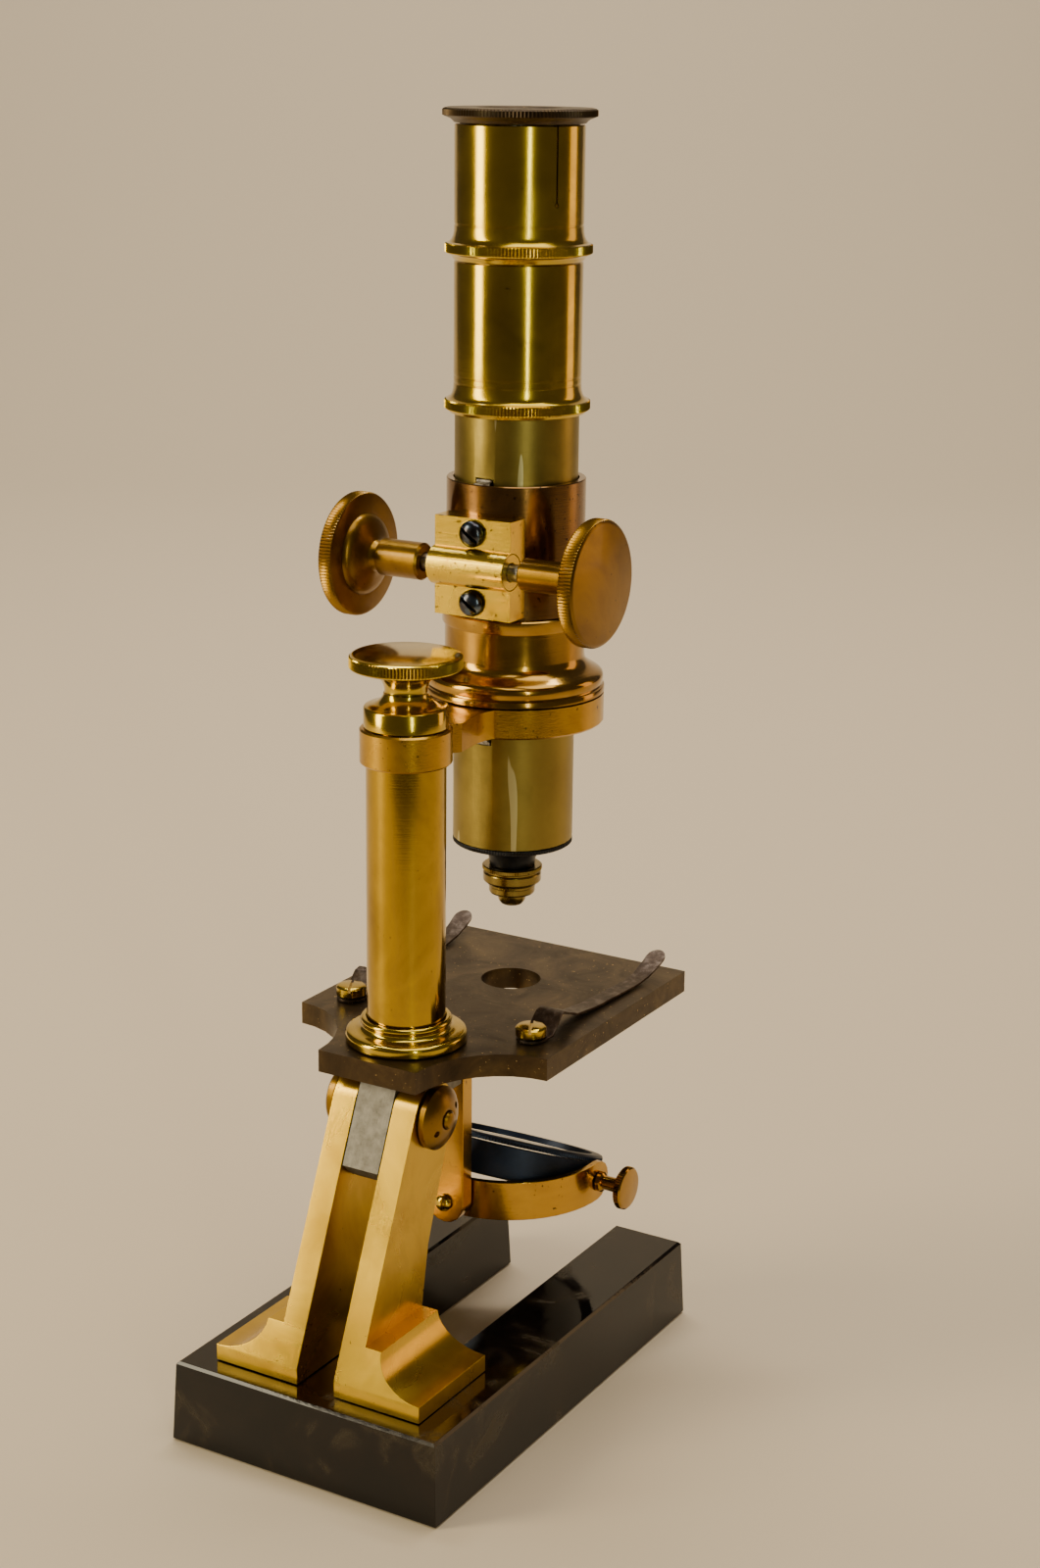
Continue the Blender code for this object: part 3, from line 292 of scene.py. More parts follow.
# bright turned steel: mid grey, faint file grain every 0.3 mm, spots of brown rust
turned_steel = new_material("turned_steel")
place = add(turned_steel, "TexCoord")
spots = add(turned_steel, "TexNoise", {"Vector": place.outputs["Object"], "Scale": 700.0, "Detail": 4.0})
tint = add(turned_steel, "ValToRGB", {"Fac": spots.outputs["Fac"]},
           stops=[(0.34, "#4a4038"), (0.48, "#8e8a84"), (0.7, "#b4b0aa")])
grain = add(turned_steel, "TexNoise", {"Vector": place.outputs["Object"], "Scale": 3200.0, "Detail": 1.0})
skin = add(turned_steel, "Bump", {"Height": grain.outputs["Fac"], "Strength": 0.15, "Distance": 0.0001})
shader = add(turned_steel, "BsdfPrincipled", {"Base Color": tint.outputs["Color"], "Metallic": 1.0,
                                              "Roughness": 0.34, "Normal": skin.outputs["Normal"]})
add(turned_steel, "OutputMaterial", {"Surface": shader.outputs[0]})

for i in range(1, 5):
    low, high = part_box(f"pillar_screw_{i}")
    tall = (high.z - low.z) / MM
    head = Vector(((low.x + high.x) / 2, (low.y + high.y) / 2, low.z))
    screw = lathe(f"foot_screw_{i}", [(0, tall), (1.7, tall), (1.95, tall - 0.4), (1.95, 2.75), (3.4, 2.75),
                                      (3.6, 2.5), (3.6, 0.3), (3.3, 0), (0, 0)], head, steps=40)
    cut(screw, bar((0.9, 9.0, 1.6), head))
    fit(screw, "foot", [f"pillar_screw_{i}"], "steel", turned_steel)


# --- Pillars ------------------------------------------------------------------------------
# Two cast brass pillars with coved feet, draw-filed along their length and lacquered pale gold.
def brass_finish(name, light, deep, dark, rough, stretch, depth, speck=0.30, coat=0.25, slope=0.0):
    """Lacquered brass: colour drifts over 20 to 40 mm, tool marks run as stretch and slope say."""
    mat = new_material(name)
    place = add(mat, "TexCoord")
    drift = add(mat, "TexNoise", {"Vector": place.outputs["Object"], "Scale": 42.0, "Detail": 5.0,
                                  "Roughness": 0.58, "Distortion": 0.6})
    tint = add(mat, "ValToRGB", {"Fac": drift.outputs["Fac"]},
               stops=[(0.28, deep), (0.52, light), (0.78, deep)])
    pits = add(mat, "TexNoise", {"Vector": place.outputs["Object"], "Scale": 950.0, "Detail": 3.0,
                                 "Roughness": 0.5})
    spot = add(mat, "ValToRGB", {"Fac": pits.outputs["Fac"]}, stops=[(speck, 1.0), (speck + 0.05, 0.0)])
    colour = add(mat, "Mix", {0: spot.outputs["Color"], 6: tint.outputs["Color"], 7: linear(dark)},
                 data_type="RGBA")
    level = add(mat, "Mapping", {"Vector": place.outputs["Object"],
                                 "Rotation": (math.radians(slope), 0.0, 0.0)})
    lay = add(mat, "Mapping", {"Vector": level.outputs["Vector"], "Scale": stretch})
    marks = add(mat, "TexNoise", {"Vector": lay.outputs["Vector"], "Scale": 1.0, "Detail": 3.0,
                                  "Roughness": 0.6})
    haze = add(mat, "ValToRGB", {"Fac": drift.outputs["Color"]},
               stops=[(0.35, rough * 0.8), (0.55, rough), (0.72, min(rough * 1.6, 0.6))])
    skin = add(mat, "Bump", {"Height": marks.outputs["Fac"], "Strength": depth, "Distance": 0.0001})
    shader = add(mat, "BsdfPrincipled",
                 {"Base Color": colour.outputs[2], "Metallic": 1.0, "Roughness": haze.outputs["Color"],
                  "Coat Weight": coat, "Coat Roughness": 0.08, "Normal": skin.outputs["Normal"]})
    add(mat, "OutputMaterial", {"Surface": shader.outputs[0]})
    return mat


# file strokes about 0.4 mm apart, running up the pillar
filed_brass = brass_finish("draw_filed_brass_lacquered", "#d9b234", "#bb9226", "#3b2a12", 0.30,
                           (2600.0, 2600.0, 70.0), 0.10, 0.22, 0.2, 30.0)
worn_brass = brass_finish("brass_arris_rubbed", "#e8d070", "#cba53e", "#5a411c", 0.24,
                          (900.0, 900.0, 900.0), 0.08, 0.30, 0.1)
for side in ("left", "right"):
    pillar = recut(f"pillar_{side}", f"pillar_casting_{side}", 0.22)
    fit(pillar, "foot", [f"pillar_{side}"], "lacquered_brass", filed_brass, worn_brass)


# --- Inclining joint ----------------------------------------------------------------------
# The bolt runs through both pillars; it has a domed head on the left and a domed brass nut
# with two spanner holes on the right, where the rivetted end of the bolt shows.
# turned and lacquered brass: tool rings every 0.3 mm around the work
gold_lacquer = brass_finish("turned_brass_gold_lacquer", "#d0b028", "#aa8c20", "#37240c", 0.18,
                            (60.0, 60.0, 3300.0), 0.10, 0.24, 0.5)
# the same brass faced off flat: rings every 0.3 mm across the face, satin; its darker brown colour is aged
# lacquer plus painted dark reflection of the room on the flat faces
aged_face_painted_reflection = brass_finish("faced_brass_aged_painted_reflection", "#8e6a1a", "#6a4a14", "#37240c", 0.34,
                           (3300.0, 60.0, 60.0), 0.10, 0.25, 0.2)

low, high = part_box("trunnion_bolt")
axle = Vector((0.0, (low.y + high.y) / 2, (low.z + high.z) / 2))
left_face, right_end = low.x / MM, high.x / MM
nut_low, nut_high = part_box("trunnion_nut")
seat, dome = nut_low.x / MM, nut_high.x / MM
bolt = lathe("trunnion_bolt_turned",
             [(0, right_end), (0.9, right_end - 0.06), (1.7, right_end - 0.35), (2.0, right_end - 0.8),
              (2.0, seat - 0.4), (2.9, seat - 0.4), (2.9, -seat), (6.9, -seat), (7.2, -seat - 0.3),
              (7.2, -seat - 1.7), (6.9, -seat - 2.1), (5.6, -seat - 2.9), (3.9, -seat - 3.4),
              (2.0, left_face + 0.08),
              (0, left_face)], axle, "X", 72)
# the bolt's darker brown colour is partly painted dark reflection
fit(bolt, "foot", ["trunnion_bolt"], "lacquered_brass", aged_face_painted_reflection)
nut = lathe("trunnion_nut_turned",
            [(2.25, dome - 0.1), (2.6, dome), (3.1, dome - 0.1), (4.4, dome - 0.5), (5.6, dome - 1.0),
             (6.6, dome - 1.6), (7.2, dome - 2.1), (7.2, seat + 0.25), (6.95, seat), (2.25, seat)], axle,
            "X", 72)
for s in (-1, 1):
    bpy.ops.object.select_all(action="DESELECT")
    bpy.ops.mesh.primitive_cylinder_add(vertices=20, radius=0.75 * MM, depth=3.0 * MM,
                                        location=(nut_high.x + 0.2 * MM, axle.y - s * 3.9 * MM,
                                                  axle.z - s * 2.1 * MM), rotation=(0, math.pi / 2, 0))
    cut(nut, bpy.context.object)
# the nut's darker brown colour is partly painted dark reflection
fit(nut, "foot", ["trunnion_nut"], "lacquered_brass", aged_face_painted_reflection)

# sawn and filed mild steel gone matt grey, with a casting pit or two
grey_steel = new_material("filed_steel_matt_grey")
place = add(grey_steel, "TexCoord")
mottle = add(grey_steel, "TexNoise", {"Vector": place.outputs["Object"], "Scale": 420.0, "Detail": 7.0,
                                      "Roughness": 0.7})
tint = add(grey_steel, "ValToRGB", {"Fac": mottle.outputs["Fac"]},
           stops=[(0.22, "#3a3630"), (0.34, "#6f6b62"), (0.62, "#8c887e")])
lay = add(grey_steel, "Mapping", {"Vector": place.outputs["Object"], "Scale": (3000.0, 400.0, 400.0)})
marks = add(grey_steel, "TexNoise", {"Vector": lay.outputs["Vector"], "Scale": 1.0, "Detail": 2.0})
skin = add(grey_steel, "Bump", {"Height": marks.outputs["Fac"], "Strength": 0.35, "Distance": 0.0001})
shader = add(grey_steel, "BsdfPrincipled", {"Base Color": tint.outputs["Color"], "Metallic": 0.85,
                                            "Roughness": 0.52, "Normal": skin.outputs["Normal"]})
add(grey_steel, "OutputMaterial", {"Surface": shader.outputs[0]})
hub = recut("joint_block", "joint_hub", 0.15)
fit(hub, "limb", ["joint_block"], "steel", grey_steel, grey_steel)
for i in (1, 2):
    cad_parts[f"joint_block_screw_{i}"].material_slots[0].material = turned_steel


# --- Stage --------------------------------------------------------------------------------
# A sawn brass plate, bronzed chemically to a dull brown-black. Slides and fingers have worn
# soft golden clouds on top and the arrises are pale.
# chemical bronze: brown-black with golden rubbed clouds of 5 to 20 mm, faint scratches
dark_bronze = new_material("bronzed_brass_plate")
place = add(dark_bronze, "TexCoord")
cloud = add(dark_bronze, "TexNoise", {"Vector": place.outputs["Object"], "Scale": 80.0, "Detail": 8.0,
                                      "Roughness": 0.66, "Distortion": 0.8})
tint = add(dark_bronze, "ValToRGB", {"Fac": cloud.outputs["Fac"]},
           stops=[(0.30, "#31261a"), (0.50, "#463723"), (0.64, "#58462a"), (0.82, "#6e5830")])
nick = add(dark_bronze, "TexNoise", {"Vector": place.outputs["Object"], "Scale": 1400.0, "Detail": 2.0})
spot = add(dark_bronze, "ValToRGB", {"Fac": nick.outputs["Fac"]}, stops=[(0.70, 0.0), (0.74, 1.0)])
colour = add(dark_bronze, "Mix", {0: spot.outputs["Color"], 6: tint.outputs["Color"], 7: linear("#b7995d")},
             data_type="RGBA")
lay = add(dark_bronze, "Mapping", {"Vector": place.outputs["Object"], "Scale": (120.0, 2600.0, 2600.0)})
marks = add(dark_bronze, "TexNoise", {"Vector": lay.outputs["Vector"], "Scale": 1.0, "Detail": 3.0})
skin = add(dark_bronze, "Bump", {"Height": marks.outputs["Fac"], "Strength": 0.18, "Distance": 0.0001})
haze = add(dark_bronze, "ValToRGB", {"Fac": cloud.outputs["Fac"]}, stops=[(0.35, 0.42), (0.70, 0.30)])
shader = add(dark_bronze, "BsdfPrincipled", {"Base Color": colour.outputs[2], "Metallic": 0.8,
                                             "Roughness": haze.outputs["Color"],
                                             "Normal": skin.outputs["Normal"]})
add(dark_bronze, "OutputMaterial", {"Surface": shader.outputs[0]})

bronze_edge = new_material("bronze_rubbed_edge")
place = add(bronze_edge, "TexCoord")
chips = add(bronze_edge, "TexNoise", {"Vector": place.outputs["Object"], "Scale": 220.0, "Detail": 5.0,
                                      "Roughness": 0.65})
tint = add(bronze_edge, "ValToRGB", {"Fac": chips.outputs["Fac"]},
           stops=[(0.38, "#4b3a24"), (0.52, "#8a7248"), (0.68, "#c2a66a")])
shader = add(bronze_edge, "BsdfPrincipled", {"Base Color": tint.outputs["Color"], "Metallic": 0.9,
                                             "Roughness": 0.34})
add(bronze_edge, "OutputMaterial", {"Surface": shader.outputs[0]})
stage = recut("stage_plate", "stage_table", 0.28)
fit(stage, "limb", ["stage_plate"], "bronzed_brass", dark_bronze, bronze_edge)


# --- Slide clips and their screws ---------------------------------------------------------
# Each clip is a strip of spring steel, humped at its root, with a rounded tip curled up so a
# slide can enter. A brass cheese-head screw with a sawn slot holds it.
clip_steel = new_material("spring_steel_browned")
place = add(clip_steel, "TexCoord")
rust = add(clip_steel, "TexNoise", {"Vector": place.outputs["Object"], "Scale": 330.0, "Detail": 7.0,
                                    "Roughness": 0.7})
tint = add(clip_steel, "ValToRGB", {"Fac": rust.outputs["Fac"]},
           stops=[(0.30, "#2c231c"), (0.50, "#4d4036"), (0.72, "#80746a")])
skin = add(clip_steel, "Bump", {"Height": rust.outputs["Fac"], "Strength": 0.3, "Distance": 0.0002})
shader = add(clip_steel, "BsdfPrincipled", {"Base Color": tint.outputs["Color"], "Metallic": 0.9,
                                            "Roughness": 0.42, "Normal": skin.outputs["Normal"]})
add(clip_steel, "OutputMaterial", {"Surface": shader.outputs[0]})
for side in ("left", "right"):
    clip = recut(f"stage_clip_{side}", f"slide_clip_{side}", 0.1, 2, 1, 50.0)
    fit(clip, f"clip_{side}", [f"stage_clip_{side}"], "steel", clip_steel, clip_steel)
    low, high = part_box(f"clip_screw_{side}")
    base = Vector(((low.x + high.x) / 2, (low.y + high.y) / 2, low.z))
    tall = (high.z - low.z) / MM
    screw = lathe(f"clip_cheese_screw_{side}",
                  [(0, tall), (2.7, tall), (3.2, tall - 0.18), (3.5, tall - 0.5), (3.5, tall - 2.2),
                   (3.3, tall - 2.4),
                   (1.4, tall - 2.4), (1.4, 0.3), (1.1, 0), (0, 0)], base, steps=64)
    cut(screw, bar((0.65, 9.0, 2.0), base + Vector((0, 0, high.z - low.z)), (0, 0, math.radians(25))))
    fit(screw, "limb", [f"clip_screw_{side}"], "lacquered_brass", gold_lacquer)


# --- Column -------------------------------------------------------------------------------
# A turned brass flange on the stage, the drawn column tube that slides in it over a hidden
# triangular steel bar, and the coved cap that closes the top.
# drawn tube polished along and lacquered deep orange gold, the ring marks barely felt
deep_gold = brass_finish("drawn_brass_deep_gold_lacquer", "#bc981c", "#927214", "#37240c", 0.15,
                         (60.0, 60.0, 3300.0), 0.05, 0.22, 0.3)
low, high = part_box("column_flange")
post = Vector(((low.x + high.x) / 2, (low.y + high.y) / 2, 0.0))
z0 = low.z / MM
flange = lathe("column_flange_turned",
               [(9.3, z0 + 5.55), (9.75, z0 + 5.5), (10.1, z0 + 5.2), (10.2, z0 + 4.8), (10.1, z0 + 4.4),
                (9.8, z0 + 4.05), (9.75, z0 + 3.7), (9.9, z0 + 3.2), (10.5, z0 + 2.8), (11.4, z0 + 2.6),
                (12.6, z0 + 2.5), (13.2, z0 + 2.3), (13.5, z0 + 1.9), (13.56, z0 + 1.5), (13.56, z0 + 0.25),
                (13.3, z0), (9.0, z0), (9.0, z0 + 5.5)], post, steps=128, sharp=40)
fit(flange, "limb", ["column_flange"], "lacquered_brass", gold_lacquer)

low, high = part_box("column_tube")
z0, z1 = low.z / MM, high.z / MM
tube = lathe("column_tube_drawn", [(8.76, z1), (8.76, z0 + 0.2), (8.6, z0), (7.2, z0), (7.2, z1)], post,
             steps=128)
fit(tube, "arm", ["column_tube"], "lacquered_brass", deep_gold)

low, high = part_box("column_cap")
z0, z1 = low.z / MM, high.z / MM
cap = lathe("column_cap_turned",
            [(2.2, z1), (4.85, z1), (4.95, z1 - 0.5), (5.2, z1 - 1.0), (5.6, z1 - 1.5), (6.2, z1 - 2.0),
             (7.0, z1 - 2.4), (7.9, z1 - 2.65), (8.7, z1 - 2.8), (9.0, z1 - 2.95), (9.2, z1 - 3.25),
             (9.2, z1 - 7.25), (9.1, z1 - 7.35), (6.95, z1 - 7.35), (6.95, z0), (2.2, z0)], post, steps=128,
            sharp=40)
fit(cap, "arm", ["column_cap"], "lacquered_brass", gold_lacquer)
for hidden in ("prism_bar", "fine_spring"):
    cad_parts[hidden].material_slots[0].material = turned_steel


# --- Fine adjustment head -----------------------------------------------------------------
# A solid turned brass head with a straight-milled edge on a waisted stem. Turning it drives
# the hidden screw that raises the whole arm.
def mill(piece, centre, axis, low, high, radius, depth):
    """Press a milling wheel on a rim: every second column of its points is drawn inwards."""
    select_only(piece)
    centre = Vector(centre)
    spare = {"X": 0, "Y": 1, "Z": 2}[axis]
    a, b = [i for i in range(3) if i != spare]
    angles = {}
    for vert in piece.data.vertices:
        gap = vert.co - centre
        reach = math.hypot(gap[a], gap[b]) / MM
        if abs(reach - radius) < 0.02 and low <= gap[spare] / MM <= high:
            angles.setdefault(round(math.atan2(gap[b], gap[a]), 4), []).append(vert.index)
    chosen = {v for i, key in enumerate(sorted(angles)) if i % 2 for v in angles[key]}
    for vert in piece.data.vertices:
        vert.select = vert.index in chosen
    for edge in piece.data.edges:
        edge.select = all(v in chosen for v in edge.vertices)
    for face in piece.data.polygons:
        face.select = False
    squeeze = [1 - depth / radius] * 3
    squeeze[spare] = 1.0
    bpy.ops.object.mode_set(mode="EDIT")
    bpy.ops.transform.resize(value=squeeze, center_override=centre)
    bpy.ops.object.mode_set(mode="OBJECT")
    bpy.ops.object.shade_smooth_by_angle(angle=math.radians(25))


low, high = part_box("fine_focus_head")
z0, z1 = low.z / MM, high.z / MM
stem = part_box("column_cap")[1].z / MM + 0.3
HEAD_RIBS = 100
head = lathe("fine_head_milled",
             [(0, z1), (11.2, z1), (11.55, z1 - 0.08), (12.0, z1 - 0.35), (12.27, z1 - 0.6),
              (12.27, z1 - 2.75),
              (12.0, z1 - 3.0), (11.6, z1 - 3.2), (9.6, z1 - 3.45), (8.0, z1 - 3.85), (6.8, z1 - 4.4),
              (5.9, z1 - 5.1), (5.2, z1 - 6.0), (4.8, z1 - 7.0), (4.65, stem + 0.4), (4.7, stem),
              (1.9, stem), (1.9, z0 + 0.5), (1.5, z0), (0, z0)],
             post, steps=HEAD_RIBS * 2, sharp=40)
mill(head, post, "Z", z1 - 2.8, z1 - 0.5, 12.27, 0.34)
fit(head, "fine_head", ["fine_focus_head"], "lacquered_brass", gold_lacquer)


# --- Arm ----------------------------------------------------------------------------------
# One brass casting: a collar on the column, a short bar that flares into flat cheeks, and the
# ring that carries the tube. It is filed, not turned, and lacquered a flatter gold.
cast_lacquer = brass_finish("filed_casting_gold_lacquer", "#c89c2c", "#a07622", "#37240c", 0.28,
                            (700.0, 700.0, 2600.0), 0.30, 0.27, 0.3)
arm = recut("arm", "arm_casting", 0.2)
fit(arm, "arm", ["arm"], "lacquered_brass", cast_lacquer, worn_brass)


# --- Tube flange and focusing sleeve ------------------------------------------------------
# The flange is turned with an ogee over a narrow rim, lacquered coppery gold. The sprung
# sleeve above it is drawn tube whose lacquer has reddened, slotted at the back for the rack
# and cut through where the pinion meets it.
copper_lacquer = brass_finish("turned_brass_copper_lacquer", "#b48a30", "#8a6420", "#3a1d0c", 0.17,
                              (60.0, 60.0, 3300.0), 0.10, 0.24, 0.4)
low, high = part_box("sleeve_flange")
optic = Vector(((low.x + high.x) / 2, (low.y + high.y) / 2, 0.0))
z0, z1 = low.z / MM, high.z / MM
ogee = lathe("tube_flange_turned",
             [(15.1, z1), (16.3, z1), (16.6, z1 - 0.25), (16.6, z1 - 2.6), (16.4, z1 - 3.0),
              (15.99, z1 - 3.2),
              (15.99, z0 + 8.8), (16.05, z0 + 8.1), (16.3, z0 + 7.4), (16.8, z0 + 6.7), (17.5, z0 + 6.1),
              (18.3, z0 + 5.6), (19.1, z0 + 5.15), (19.8, z0 + 4.7), (20.25, z0 + 4.2), (20.4, z0 + 3.7),
              (20.35, z0 + 2.4), (20.15, z0 + 1.9), (20.25, z0 + 1.7), (20.6, z0 + 1.5), (20.7, z0 + 1.3),
              (20.7, z0 + 0.2), (20.5, z0), (14.2, z0),
              (14.2, z0 + 5.0), (15.1, z0 + 5.0)], optic, steps=144, sharp=40)
cut(ogee, bar((5.0, 3.0, 60.0), optic + Vector((0, -13.6 * MM, low.z))))
fit(ogee, "arm", ["sleeve_flange"], "lacquered_brass", copper_lacquer)

red_lacquer = brass_finish("drawn_brass_reddened_lacquer", "#876230", "#664620", "#241208", 0.24,
                           (70.0, 70.0, 2600.0), 0.16, 0.30, 0.4)
low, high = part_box("sleeve")
s0, s1 = low.z / MM, high.z / MM
sleeve = lathe("focusing_sleeve",
               [(14.2, s1), (15.5, s1), (15.69, s1 - 0.2), (15.69, z1 + 0.25), (14.85, z1 + 0.25),
                (14.85, s0),
                (14.2, s0)], optic, steps=128)
deep = (optic.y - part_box("focus_rack")[0].y) / MM + 0.2
shaft_low, shaft_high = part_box("pinion_shaft")
cut(sleeve, bar((4.6, deep, 200.0), optic + Vector((0, -deep / 2 * MM, low.z))))
cut(sleeve, bar((5.2, 12.0, 8.6), optic + Vector((0, -18.0 * MM, (shaft_low.z + shaft_high.z) / 2))))
fit(sleeve, "arm", ["sleeve"], "red_lacquered_brass", red_lacquer)


# --- Coarse adjustment --------------------------------------------------------------------
# A brass saddle block with a rounded pinion housing, held to the sleeve by two blued screws;
# a steel pinion shaft runs through it and carries two milled heads on long bosses.
bright_brass = brass_finish("brushed_brass_pale_lacquer", "#e2bf3a", "#caa22c", "#4a3515", 0.26,
                            (60.0, 2400.0, 2400.0), 0.35, 0.30, 0.3)
saddle = recut("pinion_block", "pinion_saddle", 0.16)
fit(saddle, "arm", ["pinion_block"], "lacquered_brass", bright_brass, worn_brass)
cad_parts["pinion_bush"].material_slots[0].material = bright_brass

blued_steel = new_material("blued_steel_screw")
place = add(blued_steel, "TexCoord")
heat = add(blued_steel, "TexNoise", {"Vector": place.outputs["Object"], "Scale": 380.0, "Detail": 4.0})
tint = add(blued_steel, "ValToRGB", {"Fac": heat.outputs["Fac"]},
           stops=[(0.30, "#33281f"), (0.48, "#4a4a50"), (0.62, "#5b6a7c"), (0.78, "#8c8378")])
shader = add(blued_steel, "BsdfPrincipled", {"Base Color": tint.outputs["Color"], "Metallic": 1.0,
                                             "Roughness": 0.22})
add(blued_steel, "OutputMaterial", {"Surface": shader.outputs[0]})
for word in ("upper", "lower"):
    low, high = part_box(f"pinion_block_screw_{word}")
    face = Vector((0.0, low.y, (low.z + high.z) / 2))
    long = (high.y - low.y) / MM
    screw = lathe(f"saddle_screw_{word}",
                  [(0, long), (1.25, long), (1.25, 2.05), (2.9, 2.05), (3.0, 1.9), (3.0, 1.55), (2.75, 1.05),
                   (2.3, 0.6), (1.6, 0.25), (0.8, 0.05), (0, 0)], face, "Y", 56)
    cut(screw, bar((0.8, 2.2, 9.0), face, (0, math.radians(-52), 0)))
    fit(screw, "arm", [f"pinion_block_screw_{word}"], "steel", blued_steel)

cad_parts["pinion_shaft"].material_slots[0].material = turned_steel
KNOB_RIBS = 120
low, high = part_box("coarse_knob_right")
shaft = Vector((0.0, (low.y + high.y) / 2, (low.z + high.z) / 2))
face, root = high.x / MM, low.x / MM
for side, word, boss in ((-1, "left", 4.2), (1, "right", 3.6)):
    profile = [(0, face), (12.9, face), (13.3, face - 0.1), (13.7, face - 0.4), (14.0, face - 0.8),
               (14.0, face - 3.1), (13.7, face - 3.5), (13.2, face - 3.7), (9.3, face - 3.75),
               (9.2, face - 4.1), (8.8, face - 4.7), (8.0, face - 5.3), (6.9, face - 5.75), (5.6, face - 6.1),
               (4.4, face - 6.45), (3.6, face - 7.0), (3.15, face - 7.8), (3.0, face - 8.4),
               (boss - 0.3, face - 8.7), (boss, face - 9.0), (boss, root + 0.5),
               (boss - 0.45, root), (2.2, root), (2.2, face - 3.2), (0, face - 3.2)]
    knob = lathe(f"milled_head_{word}", [(r, side * h) for r, h in profile], shaft, "X", KNOB_RIBS * 2, 40)
    edges = sorted((side * (face - 3.15), side * (face - 0.75)))
    mill(knob, shaft, "X", edges[0], edges[1], 14.0, 0.32)
    # the milled heads' darker brown colour is partly painted dark reflection
    fit(knob, "pinion", [f"coarse_knob_{word}"], "lacquered_brass", aged_face_painted_reflection)


# --- Body tube and rack -------------------------------------------------------------------
# Drawn brass tube left bare where it slides: dull, greenish, finely ringed, with a few long
# scratches. The steel rack is let into its back.
bare_brass = new_material("drawn_brass_bare_dull")
place = add(bare_brass, "TexCoord")
drift = add(bare_brass, "TexNoise", {"Vector": place.outputs["Object"], "Scale": 34.0, "Detail": 5.0,
                                     "Roughness": 0.6})
tint = add(bare_brass, "ValToRGB", {"Fac": drift.outputs["Fac"]},
           stops=[(0.30, "#73652f"), (0.52, "#9a8742"), (0.76, "#85713a")])
lay = add(bare_brass, "Mapping", {"Vector": place.outputs["Object"], "Scale": (40.0, 40.0, 3000.0)})
rings = add(bare_brass, "TexNoise", {"Vector": lay.outputs["Vector"], "Scale": 1.0, "Detail": 3.0})
# long scratches: thin crossings of a slanted, stretched pattern about 15 mm apart
slant = add(bare_brass, "Mapping", {"Vector": place.outputs["Object"], "Rotation": (0.5, 0.3, 0.9),
                                    "Scale": (420.0, 30.0, 30.0)})
scrape = add(bare_brass, "TexNoise", {"Vector": slant.outputs["Vector"], "Scale": 1.0, "Detail": 0.0})
line = add(bare_brass, "ValToRGB", {"Fac": scrape.outputs["Fac"]}, stops=[(0.716, 0.0), (0.722, 1.0)])
colour = add(bare_brass, "Mix", {0: line.outputs["Color"], 6: tint.outputs["Color"], 7: linear("#c9bd86")},
             data_type="RGBA")
skin = add(bare_brass, "Bump", {"Height": rings.outputs["Fac"], "Strength": 0.25, "Distance": 0.0001})
shader = add(bare_brass, "BsdfPrincipled", {"Base Color": colour.outputs[2], "Metallic": 1.0,
                                            "Roughness": 0.36,
                                            "Normal": skin.outputs["Normal"]})
add(bare_brass, "OutputMaterial", {"Surface": shader.outputs[0]})
body = recut("body_tube", "body_tube_drawn", 0.08)
fit(body, "tube", ["body_tube"], "bare_brass", bare_brass, bare_brass)
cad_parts["focus_rack"].material_slots[0].material = turned_steel


# --- Upper tube ---------------------------------------------------------------------------
# Screwed into the body tube: a lacquered length with two fine grooves near its foot, a cove
# and a milled ring.
RING_RIBS = 132
SKIN, GROOVE, RING = 14.25, 14.13, 16.25
TUBE_BORE, PLUG = 11.85, 12.33
RIB_DEPTH = 0.42
low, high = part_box("upper_tube")
z1, seat = high.z / MM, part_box("body_tube")[1].z / MM + 0.25
foot_z = low.z / MM
upper = lathe("upper_tube_lacquered",
              [(TUBE_BORE, z1), (14.1, z1), (SKIN, z1 - 0.15), (SKIN, seat + 8.3), (GROOVE, seat + 8.2),
               (GROOVE, seat + 7.9), (SKIN, seat + 7.8), (SKIN, seat + 6.8), (GROOVE, seat + 6.7),
               (GROOVE, seat + 6.4), (SKIN, seat + 6.3), (14.3, seat + 5.2), (14.5, seat + 4.2),
               (14.85, seat + 3.5),
               (15.35, seat + 3.05), (15.9, seat + 2.85), (RING, seat + 2.6), (RING, seat + 0.9),
               (15.95, seat + 0.65), (15.5, seat + 0.5), (15.2, seat),
               (PLUG, seat), (PLUG, foot_z), (TUBE_BORE, foot_z)], optic, steps=RING_RIBS * 2, sharp=40)
mill(upper, optic, "Z", seat + 0.85, seat + 2.65, RING, RIB_DEPTH)
fit(upper, "tube", ["upper_tube"], "lacquered_brass", gold_lacquer)


# --- Nosepiece and objective --------------------------------------------------------------
# The nosepiece is turned brass blacked all over, with a finely milled rim and a trumpet neck.
# The brass objective screws into it: a milled flange, a plain barrel and a small lens cell.
oxide_black = new_material("brass_chemically_blacked")
place = add(oxide_black, "TexCoord")
bloom = add(oxide_black, "TexNoise", {"Vector": place.outputs["Object"], "Scale": 120.0, "Detail": 6.0})
tint = add(oxide_black, "ValToRGB", {"Fac": bloom.outputs["Fac"]},
           stops=[(0.35, "#0e0d10"), (0.60, "#1b1c22"), (0.80, "#33333a")])
haze = add(oxide_black, "ValToRGB", {"Fac": bloom.outputs["Fac"]}, stops=[(0.35, 0.30), (0.75, 0.46)])
shader = add(oxide_black, "BsdfPrincipled", {"Base Color": tint.outputs["Color"], "Metallic": 0.55,
                                             "Roughness": haze.outputs["Color"]})
add(oxide_black, "OutputMaterial", {"Surface": shader.outputs[0]})
low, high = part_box("nosepiece")
z0, z1 = low.z / MM, high.z / MM
NOSE_RIBS = 130
